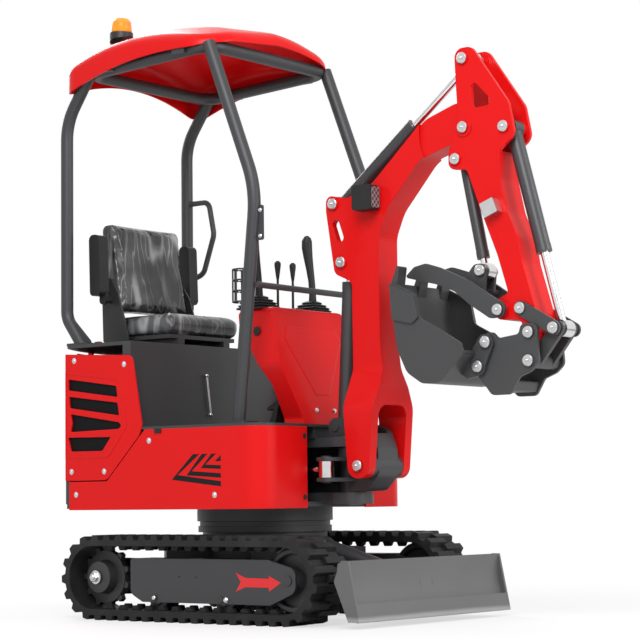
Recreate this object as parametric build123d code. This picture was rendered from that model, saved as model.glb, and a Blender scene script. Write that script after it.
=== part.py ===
from build123d import *
import os
from math import atan2, cos, degrees, hypot, pi, radians, sin, sqrt, tan

# Frame: +X forward, +Y left, +Z up, origin on the ground under the slew axis, millimetres

# Running fits and gaps
PIN_PLAY = 0.05
SIDE_PLAY = 1.0
SEAT_GAP = 0.3

# Undercarriage
TRACK_LENGTH = 1230
OVERALL_WIDTH = 930
TRACK_HEIGHT = 314
BELT_WIDTH = 180
BELT_THICK = 22
LUG_HEIGHT = 18
LUG_COUNT = 45
LUG_LENGTH = 30
LUG_OVERLAP = 30
GUIDE_GAP = 0.5
BEAM_PLATE = 12
BEAM_INNER = 55
BEAM_OUTER = 55
BEAM_CLEAR = 30
IDLER_AXLE_R = 18
SPROCKET_TOOTH = 18.5
ROLLER_XS = (-170, 150)
ROLLER_Z = 86
ROLLER_AXLE_R = 12
CAR_BODY_GAP = 50
CAR_BODY_BOTTOM = 165
CAR_BODY_TOP = 320
SLEW_RIM = 17
SLEW_WALL = 62
SLEW_HEIGHT = 40
SLEW_GAP = 0.5
TOW_EYE_R = 16
TOW_EYE_X = 32
TOW_EYE_Z = 200
TOW_PLATE = 18

# Dozer blade
BLADE_PIVOT = (215, 205)
BLADE_ARM_Y = 150
BLADE_ARM_W = 40
BLADE_REACH = 178
BLADE_HEIGHT = 206.5
BLADE_LIFT = 23.5
BLADE_HOLLOW = 22
BLADE_PLATE = 10
BLADE_RAM_BASE = (278, 270)

# Upper body
BODY_HALF = 440
TAIL_R = 760
BODY_REAR = -600
BODY_FRONT = 346
FRONT_CORNER_R = 95
SWING_NOTCH_HALF = 174
DECK_BOTTOM = 407
FLOOR_Z = 702
FLOOR_PLATE = 10
COVER_WALL = 5
SEAT_BASE_TOP = 1036
SEAT_BASE_FRONT = -285
VENT_FRONT = -221
VENT_BOTTOM = 528
VENT_TOP = 1000
COUNTERWEIGHT_TOP = 640
BONNET_HALF = 300
CONSOLE_HEIGHT = 444
CONSOLE_HALF = 220
CONSOLE_FOOT_HALF = 140
HANDRAIL_RISE = 80
MAT = 6
BONNET_HINGE_Y = 200
LEVER_X = 110
LEVER_Y = 172

# Seat
SEAT_HALF = 205
ARMREST_Y = 244
CUSHION_FRONT = -270
CUSHION_REAR = -620
CUSHION_BOTTOM = 1076
CUSHION_TOP = 1166
BACK_TOP = 1540

# Canopy
POST_R = 24
POST_Y = 350
ROOF_HALF = 394
ROOF_REAR = -663
ROOF_FRONT = 85
ROOF_REAR_Z = 2080
ROOF_FRONT_Z = 2145
ROOF_CROWN = 2272
ROOF_WALL = 7
RING_FRONT = (40, 2122)
RING_REAR = (-575, 2092)
BEACON = (-520, -230)

# Pins of the working end, X and Z in the plane of the boom
SWING_X = 430
BOOM_FOOT = (540, 556)
BOOM_RAM_BASE = (390, 700)
BOOM_RAM_EYE = (425, 1303)
ARM_RAM_BASE = (390, 1522)
ARM_PIVOT = (976, 1737)
ARM_RAM_EYE = (977, 1984)
BUCKET_RAM_BASE = (1144, 1721)
THUMB_RAM_BASE = (940, 1628)
ROCKER_PIVOT = (1203, 1083)
ROCKER_EYE = (1333, 1008)
HITCH_PIVOT = (1246, 997)
HITCH_LINK_PIN = (1244, 900)
THUMB_PIVOT = (1124, 1081)
THUMB_RAM_EYE = (1020, 1229)
BUCKET_PINS = ((1081, 971), (1047, 888))

# Working end sections
BOOM_HALF = 57
BOOM_TIP_HALF = 44
BOOM_TIP_REACH = 197
FOOT_INNER = 85
FOOT_OUTER = 125
ARM_HALF = 60
ARM_PLATE = 14
ROCKER_INNER = 61
ROCKER_PLATE = 9
HITCH_INNER = 74
HITCH_PLATE = 12
THUMB_INNER = 76
THUMB_PLATE = 12
BUCKET_HALF = 175
BUCKET_SIDE = 10
BUCKET_SHELL = 9
BUCKET_EAR = 12
BUCKET_BACK = ((738, 1071, 60), (757, 957, 90), (797, 876, 60), (862, 834, 50), (938, 836, 40),
               (1036, 930, 14))
BUCKET_LIP = (728, 1195)
BUCKET_RIM = ((1026, 968, 8), (940, 1019, 40), (854, 1064, 30), (838, 1148, 14))
TOOTH_YS = (-138, 0, 138)
TIPPING_CHEEK = 18
PIN_R = 15
ARM_PIN_R = 18
SWING_PIN_R = 26
RAM_EYE_R = 30

# Hydraulic rams: pin distance when retracted, tube radius, rod radius
BOOM_RAM = (575, 30, 16)
ARM_RAM = (462, 27, 15)
BUCKET_RAM = (500, 27, 15)
THUMB_RAM = (400, 22, 13)
BLADE_RAM = (405, 28, 15)
SWING_RAM = (425, 28, 15)
SWING_RAM_BASE = (-150, -170)
SWING_RAM_EYE = (405, -138)
SWING_RAM_Z = 545
LOWER_LUG = (430, 462)
UPPER_LUG = (628, 662)
SWING_LUG_R = 60

# Values worked out from the sizes above
AXLE_Z = TRACK_HEIGHT / 2
AXLE_X = TRACK_LENGTH / 2 - AXLE_Z
BELT_Y = (OVERALL_WIDTH - BELT_WIDTH) / 2
CARCASS_R = AXLE_Z - LUG_HEIGHT
BELT_INNER_R = CARCASS_R - BELT_THICK
DECK_SEAT = CAR_BODY_TOP + SLEW_HEIGHT + SLEW_GAP
BEAM_BOTTOM = LUG_HEIGHT + BELT_THICK + BEAM_CLEAR
BEAM_TOP = TRACK_HEIGHT - LUG_HEIGHT - BELT_THICK - 1.5 * BEAM_CLEAR
BEAM_REAR = -AXLE_X + 167
CAR_BODY_R = OVERALL_WIDTH / 2 - BELT_WIDTH - CAR_BODY_GAP
SLEW_R = CAR_BODY_R + SLEW_RIM
BLADE_X = TRACK_LENGTH / 2 + BLADE_REACH
BLADE_BOTTOM = (BLADE_X, BLADE_LIFT)
BLADE_TOP = (BLADE_X - 44, BLADE_LIFT + BLADE_HEIGHT)
BLADE_RAM_EYE = (BLADE_X - 103, 150)
COVER_DIAGONAL = ((VENT_FRONT - 180, VENT_BOTTOM - 14), (VENT_FRONT + 13, FLOOR_Z + 0.5))
CONSOLE_TOP = FLOOR_Z + CONSOLE_HEIGHT
BONNET_HINGE = (-TAIL_R + 84, SEAT_BASE_TOP + 16)
BUCKET_EAR_INNER = HITCH_INNER + HITCH_PLATE + 2


# Drawing helpers

def outline(*corners):
    """Closed face of straight runs; a corner (u, v, radius) gets a tangent arc, limited by its two runs."""
    points = [Vector(c[0], c[1]) for c in corners]
    count = len(points)
    starts, middles, ends = [], [], []
    for i, point in enumerate(points):
        back = points[i - 1] - point
        ahead = points[(i + 1) % count] - point
        half = radians(back.get_angle(ahead)) / 2
        radius = corners[i][2] if len(corners[i]) > 2 else 0
        reach = min(radius / tan(half), 0.49 * min(back.length, ahead.length))
        radius = reach * tan(half)
        back, ahead = back.normalized(), ahead.normalized()
        starts.append(point + back * reach)
        ends.append(point + ahead * reach)
        middles.append(point + (back + ahead).normalized() * (radius / sin(half) - radius))
    edges = []
    for i in range(count):
        if (ends[i] - starts[i]).length > 1e-6:
            edges.append(ThreePointArc(starts[i], middles[i], ends[i]))
        following = starts[(i + 1) % count]
        if (following - ends[i]).length > 1e-6:
            edges.append(Line(ends[i], following))
    return make_face(edges)


def side_slab(face, y0, y1):
    """Face drawn in X and Z, made solid between two Y values."""
    return extrude(Plane((0, y1, 0), x_dir=(1, 0, 0), z_dir=(0, -1, 0)) * face, y1 - y0)


def plan_slab(face, z0, z1):
    """Face drawn in X and Y, made solid between two heights."""
    return extrude(Plane.XY.offset(z0) * face, z1 - z0)


def front_slab(face, x0, x1):
    """Face drawn in Y and Z, made solid between two X values."""
    return extrude(Plane((x0, 0, 0), x_dir=(0, 1, 0), z_dir=(1, 0, 0)) * face, x1 - x0)


def block(x0, x1, y0, y1, z0, z1):
    return Pos((x0 + x1) / 2, (y0 + y1) / 2, (z0 + z1) / 2) * Box(x1 - x0, y1 - y0, z1 - z0)


def disc_face(center, radius):
    return Pos(center[0], center[1]) * Circle(radius)


def cross_bar(center, radius, y0, y1):
    """Round bar along Y at an (X, Z) centre."""
    return side_slab(disc_face(center, radius), y0, y1)


def upright_bar(center, radius, z0, z1):
    """Round bar along Z at an (X, Y) centre."""
    return plan_slab(disc_face(center, radius), z0, z1)


def both_sides(shape):
    return shape + mirror(shape, about=Plane.XZ)


def spun(profile, center, side):
    """Profile drawn in (radius, distance from the middle plane), spun about a Y axle at (X, Z)."""
    solid = revolve(Plane.XZ * profile, Axis.Z)
    return Plane((center[0], 0, center[1]), x_dir=(1, 0, 0), z_dir=(0, side, 0)) * solid


def pipe(points, radii, radius):
    """Round tube along straight runs joined by tangent arcs."""
    path = FilletPolyline(*points, radius=radii)
    return sweep(Plane(path @ 0, z_dir=path % 0) * Circle(radius), path)


def eye_half(ram_sizes):
    """Half width of both eyes of a ram: as wide as its tube."""
    return ram_sizes[1] + 1


def ear_gap(ram_sizes):
    """Distance of a ram's ears from its middle plane."""
    return eye_half(ram_sizes) + SIDE_PLAY


def ram(base, eye, sizes, pin_axis=(0, 1, 0)):
    """Hydraulic cylinder from its base pin to its rod eye: barrel with bored eye, and rod with solid eye."""
    retracted, tube_r, rod_r = sizes
    width = eye_half(sizes)
    start, finish = Vector(*base), Vector(*eye)
    span = (finish - start).length
    frame = Plane(start, x_dir=finish - start, z_dir=pin_axis)
    along = Plane.YZ
    floor = RAM_EYE_R + 14
    mouth = retracted - RAM_EYE_R - 10
    collar = 26
    rod_back = span - (retracted - floor - 6)
    tube = Pos(RAM_EYE_R * 0.6, 0, 0) * extrude(along * Circle(tube_r), mouth - RAM_EYE_R * 0.6)
    gland = Pos(mouth - collar, 0, 0) * extrude(along * Circle(tube_r + 1), collar)
    lug = extrude(Plane.XY.offset(-width) * Circle(RAM_EYE_R), 2 * width)
    barrel = tube + gland + lug
    barrel -= extrude(Plane.XY.offset(-2 * width) * Circle(PIN_R + PIN_PLAY), 4 * width)
    barrel -= Pos(floor, 0, 0) * extrude(along * Circle(rod_r + PIN_PLAY), retracted)
    rod = Pos(rod_back, 0, 0) * extrude(along * Circle(rod_r), span - rod_back)
    rod += Pos(span, 0, 0) * lug
    return frame * barrel, frame * rod


def at_y(pin, y=0):
    return (pin[0], y, pin[1])


# Undercarriage

def loop_spot(travel):
    """Point on the belt's outer face and its outward direction, after a travel from the top rear."""
    straight = 2 * AXLE_X
    bend = pi * CARCASS_R
    travel %= 2 * (straight + bend)
    if travel < straight:
        return travel - AXLE_X, AXLE_Z + CARCASS_R, pi / 2
    travel -= straight
    if travel < bend:
        turn = pi / 2 - travel / CARCASS_R
        return AXLE_X + CARCASS_R * cos(turn), AXLE_Z + CARCASS_R * sin(turn), turn
    travel -= bend
    if travel < straight:
        return AXLE_X - travel, AXLE_Z - CARCASS_R, -pi / 2
    turn = -pi / 2 - (travel - straight) / CARCASS_R
    return -AXLE_X + CARCASS_R * cos(turn), AXLE_Z + CARCASS_R * sin(turn), turn


def lug_face(travel):
    """One tread bar in side view: a trapezium rooted in the carcass."""
    x, z, out = loop_spot(travel)
    normal = Vector(cos(out), sin(out))
    tangent = Vector(sin(out), -cos(out))
    spot = Vector(x, z)
    root, crest = LUG_LENGTH / 2 + 5, LUG_LENGTH / 2 - 3
    shape = [(-root, -4), (-crest, LUG_HEIGHT), (crest, LUG_HEIGHT), (root, -4)]
    return make_face(Polyline(*[spot + tangent * t + normal * n for t, n in shape], close=True))


def stadium(radius):
    return Pos(0, AXLE_Z) * SlotCenterToCenter(2 * AXLE_X, 2 * radius)


def rubber_track(side):
    """Belt loop whose tread bars stand in two staggered rows."""
    pitch = 2 * (2 * AXLE_X + pi * CARCASS_R) / LUG_COUNT
    inner, outer = BELT_Y - BELT_WIDTH / 2, BELT_Y + BELT_WIDTH / 2
    middle = (inner + outer) / 2
    rows = ((0.25, middle - LUG_OVERLAP / 2, outer), (0.75, inner, middle + LUG_OVERLAP / 2))
    belt = side_slab(stadium(CARCASS_R), inner, outer)
    for phase, y0, y1 in rows:
        bars = [lug_face((i + phase) * pitch) for i in range(LUG_COUNT)]
        belt += [side_slab(bar, y0, y1) for bar in bars]
    belt &= side_slab(stadium(TRACK_HEIGHT / 2), inner, outer)
    belt -= side_slab(stadium(BELT_INNER_R), inner - 1, outer + 1)
    return belt if side > 0 else mirror(belt, about=Plane.XZ)


def track_frame():
    """Welded car body with four legs, and a side beam over each row of rollers."""
    inner0 = BELT_Y - BEAM_INNER
    outer1 = BELT_Y + BEAM_OUTER
    nose_r = IDLER_AXLE_R + 16
    cheek = outline((BEAM_REAR, BEAM_TOP, 12), (BEAM_REAR, BEAM_BOTTOM + 30, 30),
                    (BEAM_REAR + 60, BEAM_BOTTOM, 20), (AXLE_X - 80, BEAM_BOTTOM, 30),
                    (AXLE_X + nose_r, AXLE_Z - 40, nose_r), (AXLE_X + nose_r, AXLE_Z + 40, nose_r),
                    (AXLE_X - 90, BEAM_TOP, 30))
    holes = disc_face((AXLE_X, AXLE_Z), IDLER_AXLE_R + PIN_PLAY)
    for x in ROLLER_XS:
        holes += disc_face((x, ROLLER_Z), ROLLER_AXLE_R + PIN_PLAY)
    cheek -= holes
    beam = side_slab(cheek, inner0, inner0 + BEAM_PLATE) + side_slab(cheek, outer1 - BEAM_PLATE, outer1)
    beam += block(BEAM_REAR + 14, AXLE_X - 150, inner0, outer1, BEAM_TOP - BEAM_PLATE, BEAM_TOP)
    motor_face = BELT_Y - 75
    motor_arm = outline((-AXLE_X - 70, AXLE_Z + 70, 68), (-AXLE_X - 70, AXLE_Z - 70, 68),
                        (BEAM_REAR + 70, AXLE_Z - 60, 10), (BEAM_REAR + 70, AXLE_Z + 65, 10))
    beam += side_slab(motor_arm, motor_face - BEAM_PLATE, motor_face)
    beam += block(BEAM_REAR + 8, BEAM_REAR + 70, motor_face - BEAM_PLATE, inner0 + 2, AXLE_Z - 60,
                  AXLE_Z + 65)
    frame = both_sides(beam)
    plan = Circle(CAR_BODY_R)
    for turn in (48, 132, 228, 312):
        plan += Rot(0, 0, turn) * Pos(CAR_BODY_R - 20, 0) * Rectangle(330, 125)
    reach = inner0 + 2
    plan &= Rectangle(2 * CAR_BODY_R + 80, 2 * reach)
    frame += plan_slab(plan, CAR_BODY_BOTTOM, BEAM_TOP + 30)
    frame += upright_bar((0, 0), CAR_BODY_R, BEAM_TOP, CAR_BODY_TOP)
    ear_r = 30
    pivot_ear = outline((BLADE_PIVOT[0] - 70, BLADE_PIVOT[1] + ear_r, 4),
                        (BLADE_PIVOT[0] - 70, BLADE_PIVOT[1] - ear_r, 4),
                        (BLADE_PIVOT[0] + ear_r, BLADE_PIVOT[1] - ear_r, ear_r - 1),
                        (BLADE_PIVOT[0] + ear_r, BLADE_PIVOT[1] + ear_r, ear_r - 1))
    gap = BLADE_ARM_W / 2 + SIDE_PLAY
    ears = [side_slab(pivot_ear, BLADE_ARM_Y + s * gap - (s < 0) * 14, BLADE_ARM_Y + s * gap + (s > 0) * 14)
            for s in (-1, 1)]
    pin = cross_bar(BLADE_PIVOT, PIN_R, BLADE_ARM_Y - gap - 20, BLADE_ARM_Y + gap + 20)
    frame += both_sides(ears[0] + ears[1] + pin)
    frame -= both_sides(cross_bar(BLADE_PIVOT, ear_r + 16, BLADE_ARM_Y - gap + 0.01, BLADE_ARM_Y + gap - 0.01)
                        - cross_bar(BLADE_PIVOT, PIN_R, BLADE_ARM_Y - gap, BLADE_ARM_Y + gap))
    frame -= both_sides(block(BLADE_PIVOT[0] + ear_r, BLADE_PIVOT[0] + 90, BLADE_ARM_Y - gap, BLADE_ARM_Y + gap,
                              BLADE_PIVOT[1] - 80, BLADE_PIVOT[1] + 90))
    x, z = BLADE_RAM_BASE
    ram_ear = outline((x - 100, z + 34, 4), (x - 100, z - 40, 4), (x + 28, z - 40, 30), (x + 28, z + 34, 30))
    side = ear_gap(BLADE_RAM)
    frame += both_sides(side_slab(ram_ear, side, side + 12))
    frame += cross_bar(BLADE_RAM_BASE, PIN_R, -side - 18, side + 18)
    tow = outline((-CAR_BODY_R + 20, 46), (-CAR_BODY_R - 30, 40, 10), (-CAR_BODY_R - 70, 0, 30),
                  (-CAR_BODY_R - 30, -40, 10), (-CAR_BODY_R + 20, -46))
    tow = tow - disc_face((-CAR_BODY_R - TOW_EYE_X, 0), TOW_EYE_R)
    frame += plan_slab(tow, TOW_EYE_Z - TOW_PLATE / 2, TOW_EYE_Z + TOW_PLATE / 2)
    return frame


def sprocket(side):
    """Drive wheel with teeth, on the drum of its travel motor."""
    inner = BELT_Y - 75
    reach = BELT_INNER_R - GUIDE_GAP
    root = reach - SPROCKET_TOOTH
    drum = root - 30
    face = Polyline((0, inner), (drum, inner), (drum, BELT_Y - 14), (root, BELT_Y - 14), (root, BELT_Y + 14),
                    (drum - 4, BELT_Y + 14), (drum - 10, BELT_Y + 52), (26, BELT_Y + 58), (26, BELT_Y + 66),
                    (0, BELT_Y + 66), close=True)
    wheel = spun(make_face(face), (-AXLE_X, AXLE_Z), side)
    teeth = 11
    for i in range(teeth):
        tooth = make_face(Polyline((root - 6, -15), (root - 6, 15), (reach - 2, 8), (reach - 2, -8),
                                   close=True))
        tooth = Pos(-AXLE_X, AXLE_Z) * Rot(0, 0, 360 / teeth * (i + 0.5)) * tooth
        wheel += side_slab(tooth, side * BELT_Y - 11, side * BELT_Y + 11)
    return wheel


def idler(side):
    """Front guide wheel: rim, thin web and hub on its axle."""
    rim = BELT_INNER_R - GUIDE_GAP
    hub = BEAM_INNER - BEAM_PLATE - SEAT_GAP
    end = BEAM_INNER + 4
    half = Polyline((0, 0), (rim, 0), (rim, 20), (rim - 8, 30), (rim - 22, 30), (rim - 26, 9), (46, 9),
                    (40, 26), (36, hub), (IDLER_AXLE_R, hub), (IDLER_AXLE_R, end), (0, end), close=True)
    wheel = spun(make_face(half), (AXLE_X, AXLE_Z), 1)
    wheel += mirror(wheel, about=Plane.XZ)
    return Pos(0, side * BELT_Y, 0) * wheel


def roller(x, side):
    """Track roller: two treads with a waist between them, on its axle."""
    tread = ROLLER_Z - (AXLE_Z - BELT_INNER_R) - GUIDE_GAP
    hub = BEAM_INNER - BEAM_PLATE - SEAT_GAP
    end = BEAM_INNER + 4
    half = Polyline((0, 0), (26, 0), (26, 14), (tread, 18), (tread, 34), (30, 37), (24, hub),
                    (ROLLER_AXLE_R, hub), (ROLLER_AXLE_R, end), (0, end), close=True)
    wheel = spun(make_face(half), (x, ROLLER_Z), 1)
    wheel += mirror(wheel, about=Plane.XZ)
    return Pos(0, side * BELT_Y, 0) * wheel


def slew_ring():
    top = CAR_BODY_TOP + SLEW_HEIGHT
    bore = SLEW_R - SLEW_WALL
    ring = Polyline((bore, CAR_BODY_TOP), (SLEW_R, CAR_BODY_TOP), (SLEW_R, top - 18), (SLEW_R - 6, top - 18),
                    (SLEW_R - 6, top), (bore, top), close=True)
    return revolve(Plane.XZ * make_face(ring), Axis.Z)


def dozer_blade():
    """Hollow-faced mouldboard with end plates and cutting edge, on two arms with a cross tube."""
    (tx, tz), (bx, bz) = BLADE_TOP, BLADE_BOTTOM
    chord = Vector(bx - tx, bz - tz)
    away = Vector(chord.Y, -chord.X).normalized() * -1
    if away.X < 0:
        away = away * -1
    middle = Vector((tx + bx) / 2, (tz + bz) / 2) - away * BLADE_HOLLOW
    back = away * -BLADE_PLATE
    front = ThreePointArc((tx, tz), middle, (bx, bz))
    rear = ThreePointArc(Vector(tx, tz) + back, middle + back, Vector(bx, bz) + back)
    face = make_face([front, rear, Line(front @ 0, rear @ 0), Line(front @ 1, rear @ 1)])
    half = OVERALL_WIDTH / 2
    blade = side_slab(face, -half, half)
    edge = outline((bx, bz), (bx - 14, bz + 62), (bx - 38, bz + 57), (bx - 22, bz))
    blade += side_slab(edge, -half, half)
    end = outline((tx, tz), (bx, bz), (bx - 46, bz), (tx - 62, tz - 70, 20), (tx - 30, tz))
    blade += both_sides(side_slab(end, half - 10, half))
    rail = outline((tx - 6, tz - 4), (tx - 48, tz - 8, 8), (tx - 52, tz - 44, 8), (tx - 18, tz - 46))
    blade += side_slab(rail, -half + 5, half - 5)
    px, pz = BLADE_PIVOT
    arm = outline((px - 26, pz + 26, 25), (px - 26, pz - 26, 25), (px + 60, pz - 34, 40), (tx - 120, 62, 60),
                  (bx - 40, 42), (tx - 12, 165), (tx - 130, 135, 60), (px + 90, pz + 26, 60))
    arm -= disc_face(BLADE_PIVOT, PIN_R + PIN_PLAY)
    y0, y1 = BLADE_ARM_Y - BLADE_ARM_W / 2, BLADE_ARM_Y + BLADE_ARM_W / 2
    blade += both_sides(side_slab(arm, y0, y1))
    ex, ez = BLADE_RAM_EYE
    blade += side_slab(outline((ex - 78, 66, 6), (ex - 78, 104, 6), (ex - 38, 104, 6), (ex - 38, 66, 6)),
                       -y0 - 2, y0 + 2)
    ear = outline((ex - 60, 80, 6), (ex - 34, ez + 30, 26), (ex + 30, ez + 32, 26), (tx - 8, 190),
                  (bx - 36, 60))
    side = ear_gap(BLADE_RAM)
    blade += both_sides(side_slab(ear, side, side + 12) + cross_bar(BLADE_RAM_EYE, 22, side + 12, side + 17))
    keep_clear = side_slab(disc_face(BLADE_RAM_EYE, RAM_EYE_R + 8), -side, side)
    return blade - keep_clear


# Upper body

def body_plan(inset):
    """Plan of the upper body: rounded front corners, straight sides, round tail."""
    front, half = BODY_FRONT - inset, BODY_HALF - inset
    corner = FRONT_CORNER_R - inset
    face = outline((-TAIL_R - 50, half), (-TAIL_R - 50, -half), (front, -half, corner), (front, half, corner))
    return face & Circle(TAIL_R - inset)


def plan_window(x0, x1, y0, y1):
    return Pos((x0 + x1) / 2, (y0 + y1) / 2) * Rectangle(x1 - x0, y1 - y0)


def lug_plan(reach):
    """Plan of a swing bracket lug, round about the swing pin."""
    r = SWING_LUG_R
    return outline((reach, -110), (SWING_X - 40, -r - 20, 20), (SWING_X + r, -r, r - 1),
                   (SWING_X + r, r, r - 1), (SWING_X - 40, r + 20, 20), (reach, 110))


def deck_frame():
    """Slewing deck: base plate on the slew seat, webs under the floor, and the swing bracket's lugs."""
    base = LOWER_LUG[0] - 18
    inside = COVER_WALL + SEAT_GAP
    deck = plan_slab(body_plan(inside), base, LOWER_LUG[0])
    deck += upright_bar((0, 0), SLEW_R + 4, DECK_SEAT, base) - upright_bar((0, 0), SLEW_R - SLEW_WALL,
                                                                           DECK_SEAT, base)
    deck += block(SEAT_BASE_FRONT, BODY_FRONT - 30, 118, 130, LOWER_LUG[0] - 1, FLOOR_Z)
    deck += block(SEAT_BASE_FRONT, SEAT_BASE_FRONT + 10, -400, 400, LOWER_LUG[0] - 1, FLOOR_Z)
    deck += plan_slab(lug_plan(120), LOWER_LUG[0] - 10, LOWER_LUG[1])
    deck += plan_slab(lug_plan(120), *UPPER_LUG)
    deck += block(140, BODY_FRONT - 30, -100, 125, UPPER_LUG[1] - 1, FLOOR_Z)
    deck += upright_bar((SWING_X, 0), SWING_PIN_R, LOWER_LUG[0] - 10, UPPER_LUG[1] + 4)
    x, y = SWING_RAM_BASE
    gap = ear_gap(SWING_RAM)
    ear = outline((x - 70, y - 36), (x + 34, y - 36, 33), (x + 34, y + 36, 33), (x - 70, y + 36))
    for z0 in (SWING_RAM_Z - gap - 12, SWING_RAM_Z + gap):
        deck += plan_slab(ear, z0, z0 + 12)
    deck += block(x - 70, x - 44, y - 36, y + 36, LOWER_LUG[0] - 1, SWING_RAM_Z + gap + 12)
    deck += upright_bar(SWING_RAM_BASE, PIN_R, SWING_RAM_Z - gap - 16, SWING_RAM_Z + gap + 16)
    return deck


def floor_plate():
    """Floor panel over the front of the deck, notched for the swing bracket and the vent covers."""
    floor = body_plan(0) & plan_window(SEAT_BASE_FRONT, BODY_FRONT, -BODY_HALF, BODY_HALF)
    floor -= plan_window(BODY_FRONT - 20, BODY_FRONT + 20, -SWING_NOTCH_HALF, SWING_NOTCH_HALF)
    edge = COVER_WALL + 2 + SEAT_GAP
    for y in (-BODY_HALF, BODY_HALF):
        floor -= plan_window(SEAT_BASE_FRONT - 1, VENT_FRONT + SEAT_GAP, y - edge, y + edge)
    return plan_slab(floor, FLOOR_Z, FLOOR_Z + FLOOR_PLATE)


def side_cover(side):
    """Lower cover that wraps from the flank round the front corner to the swing bracket."""
    ring = body_plan(0) - body_plan(COVER_WALL)
    ring &= plan_window(BODY_REAR, BODY_FRONT + 1, -BODY_HALF - 1, -SWING_NOTCH_HALF)
    wall = plan_slab(ring, DECK_BOTTOM, FLOOR_Z)
    (lower_x, lower_z), (rise, top) = COVER_DIAGONAL
    above = outline((BODY_REAR - 60, lower_z), (lower_x, lower_z, 20), (rise, top, 1), (rise, FLOOR_Z + 60),
                    (BODY_REAR - 60, FLOOR_Z + 60))
    wall -= side_slab(above, -BODY_HALF - 10, -SWING_NOTCH_HALF)
    return wall if side < 0 else mirror(wall, about=Plane.XZ)


def vent_slot(x0, x1, z_rear, z_front, height, point=0):
    """One louvre opening, leaning forward and down, its rear end pointed or square."""
    return outline((x0, z_rear, 8),
                   (x0 - point, z_rear - height / 2, 4) if point else (x0 - 4, z_rear - height / 2),
                   (x0, z_rear - height, 8), (x1, z_front - height, 8), (x1, z_front, 8))


def vent_cover(side):
    """Louvred engine cover of the flank, wrapping round the rear corner to the bonnet."""
    rear = -sqrt(TAIL_R ** 2 - BODY_HALF ** 2)
    wall = COVER_WALL + 2
    (lower_x, lower_z), (rise, top) = COVER_DIAGONAL
    panel = outline((rear, VENT_TOP, 4), (VENT_FRONT - 50, VENT_TOP - 20, 25),
                    (VENT_FRONT, FLOOR_Z + 15, 20),
                    (lower_x + 0.3 * (rise - lower_x) - 1, lower_z + 0.3 * (top - lower_z), 30),
                    (lower_x, VENT_BOTTOM, 20), (rear, VENT_BOTTOM, 4))
    panel -= vent_slot(-596, -353, 905, 862, 33)
    panel -= vent_slot(-596, -347, 838, 797, 36)
    panel -= vent_slot(-580, -346, 768, 732, 30)
    panel -= outline((-590, 670, 6), (-385, 674, 6), (-432, 630, 8), (-570, 630, 8))
    cover = side_slab(panel, -BODY_HALF, -BODY_HALF + wall)
    corner = body_plan(0) - body_plan(wall)
    corner &= plan_window(-TAIL_R, rear + 4, -BODY_HALF, -BONNET_HALF - 5)
    cover += plan_slab(corner, COUNTERWEIGHT_TOP + 4, VENT_TOP)
    return cover if side < 0 else mirror(cover, about=Plane.XZ)


def counterweight():
    """Cast tail weight that follows the swing of the tail."""
    plan = body_plan(0) - Circle(TAIL_R - 125)
    plan &= plan_window(-TAIL_R, BODY_REAR - 4, -BODY_HALF + COVER_WALL + 3, BODY_HALF - COVER_WALL - 3)
    weight = plan_slab(plan, LOWER_LUG[0], COUNTERWEIGHT_TOP)
    return fillet(weight.edges().group_by(Axis.Z)[-1].sort_by(Axis.X)[:1], 14)


def rear_bonnet():
    """Curved engine lid at the tail, hung on two arms."""
    wall = COVER_WALL + 2
    plan = (Circle(TAIL_R) - Circle(TAIL_R - wall)) & plan_window(-TAIL_R, 0, -BONNET_HALF, BONNET_HALF)
    lid = plan_slab(plan, COUNTERWEIGHT_TOP + 4, SEAT_BASE_TOP - 22)
    x, z = BONNET_HINGE
    reach = -sqrt((TAIL_R - wall / 2) ** 2 - BONNET_HINGE_Y ** 2)
    arm = outline((reach, z - 90), (reach, z - 10, 20), (x - 4, z + 14, 13), (x + 14, z + 14, 13),
                  (x + 14, z - 14, 13), (x - 14, z - 13, 8), (reach + 16, z - 40, 10), (reach + 10, z - 90))
    arm -= disc_face(BONNET_HINGE, 6 + PIN_PLAY)
    return lid + both_sides(side_slab(arm, BONNET_HINGE_Y - 6, BONNET_HINGE_Y + 6))


def seat_base():
    """Dark engine box: top plate that carries the seat, front bulkhead, and the bonnet's hinge ears."""
    inside = COVER_WALL + 2 + SEAT_GAP
    top = body_plan(inside) & plan_window(-TAIL_R, SEAT_BASE_FRONT, -BODY_HALF, BODY_HALF)
    base = plan_slab(top, SEAT_BASE_TOP - 14, SEAT_BASE_TOP)
    half = BODY_HALF - inside
    base += block(SEAT_BASE_FRONT - 12, SEAT_BASE_FRONT, -half, half, FLOOR_Z + FLOOR_PLATE,
                  SEAT_BASE_TOP - 10)
    for y in (-half, half - 8):
        base += block(SEAT_BASE_FRONT - 40, SEAT_BASE_FRONT - 5, y, y + 8, FLOOR_Z + FLOOR_PLATE,
                      SEAT_BASE_TOP - 10)
    x, z = BONNET_HINGE
    ear = outline((x - 12, SEAT_BASE_TOP - 2), (x - 12, z + 12, 11), (x + 12, z + 12, 11),
                  (x + 12, SEAT_BASE_TOP - 2))
    y0 = BONNET_HINGE_Y + 6 + SIDE_PLAY
    base += both_sides(side_slab(ear, y0, y0 + 10) + cross_bar(BONNET_HINGE, 6, BONNET_HINGE_Y - 10, y0 + 5))
    slot = block(x - 60, x + 24, BONNET_HINGE_Y - 12, y0, SEAT_BASE_TOP - 20, SEAT_BASE_TOP + 1)
    return base - both_sides(slot)


def engine():
    return block(-590, -330, -230, 230, LOWER_LUG[0], 930)


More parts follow.
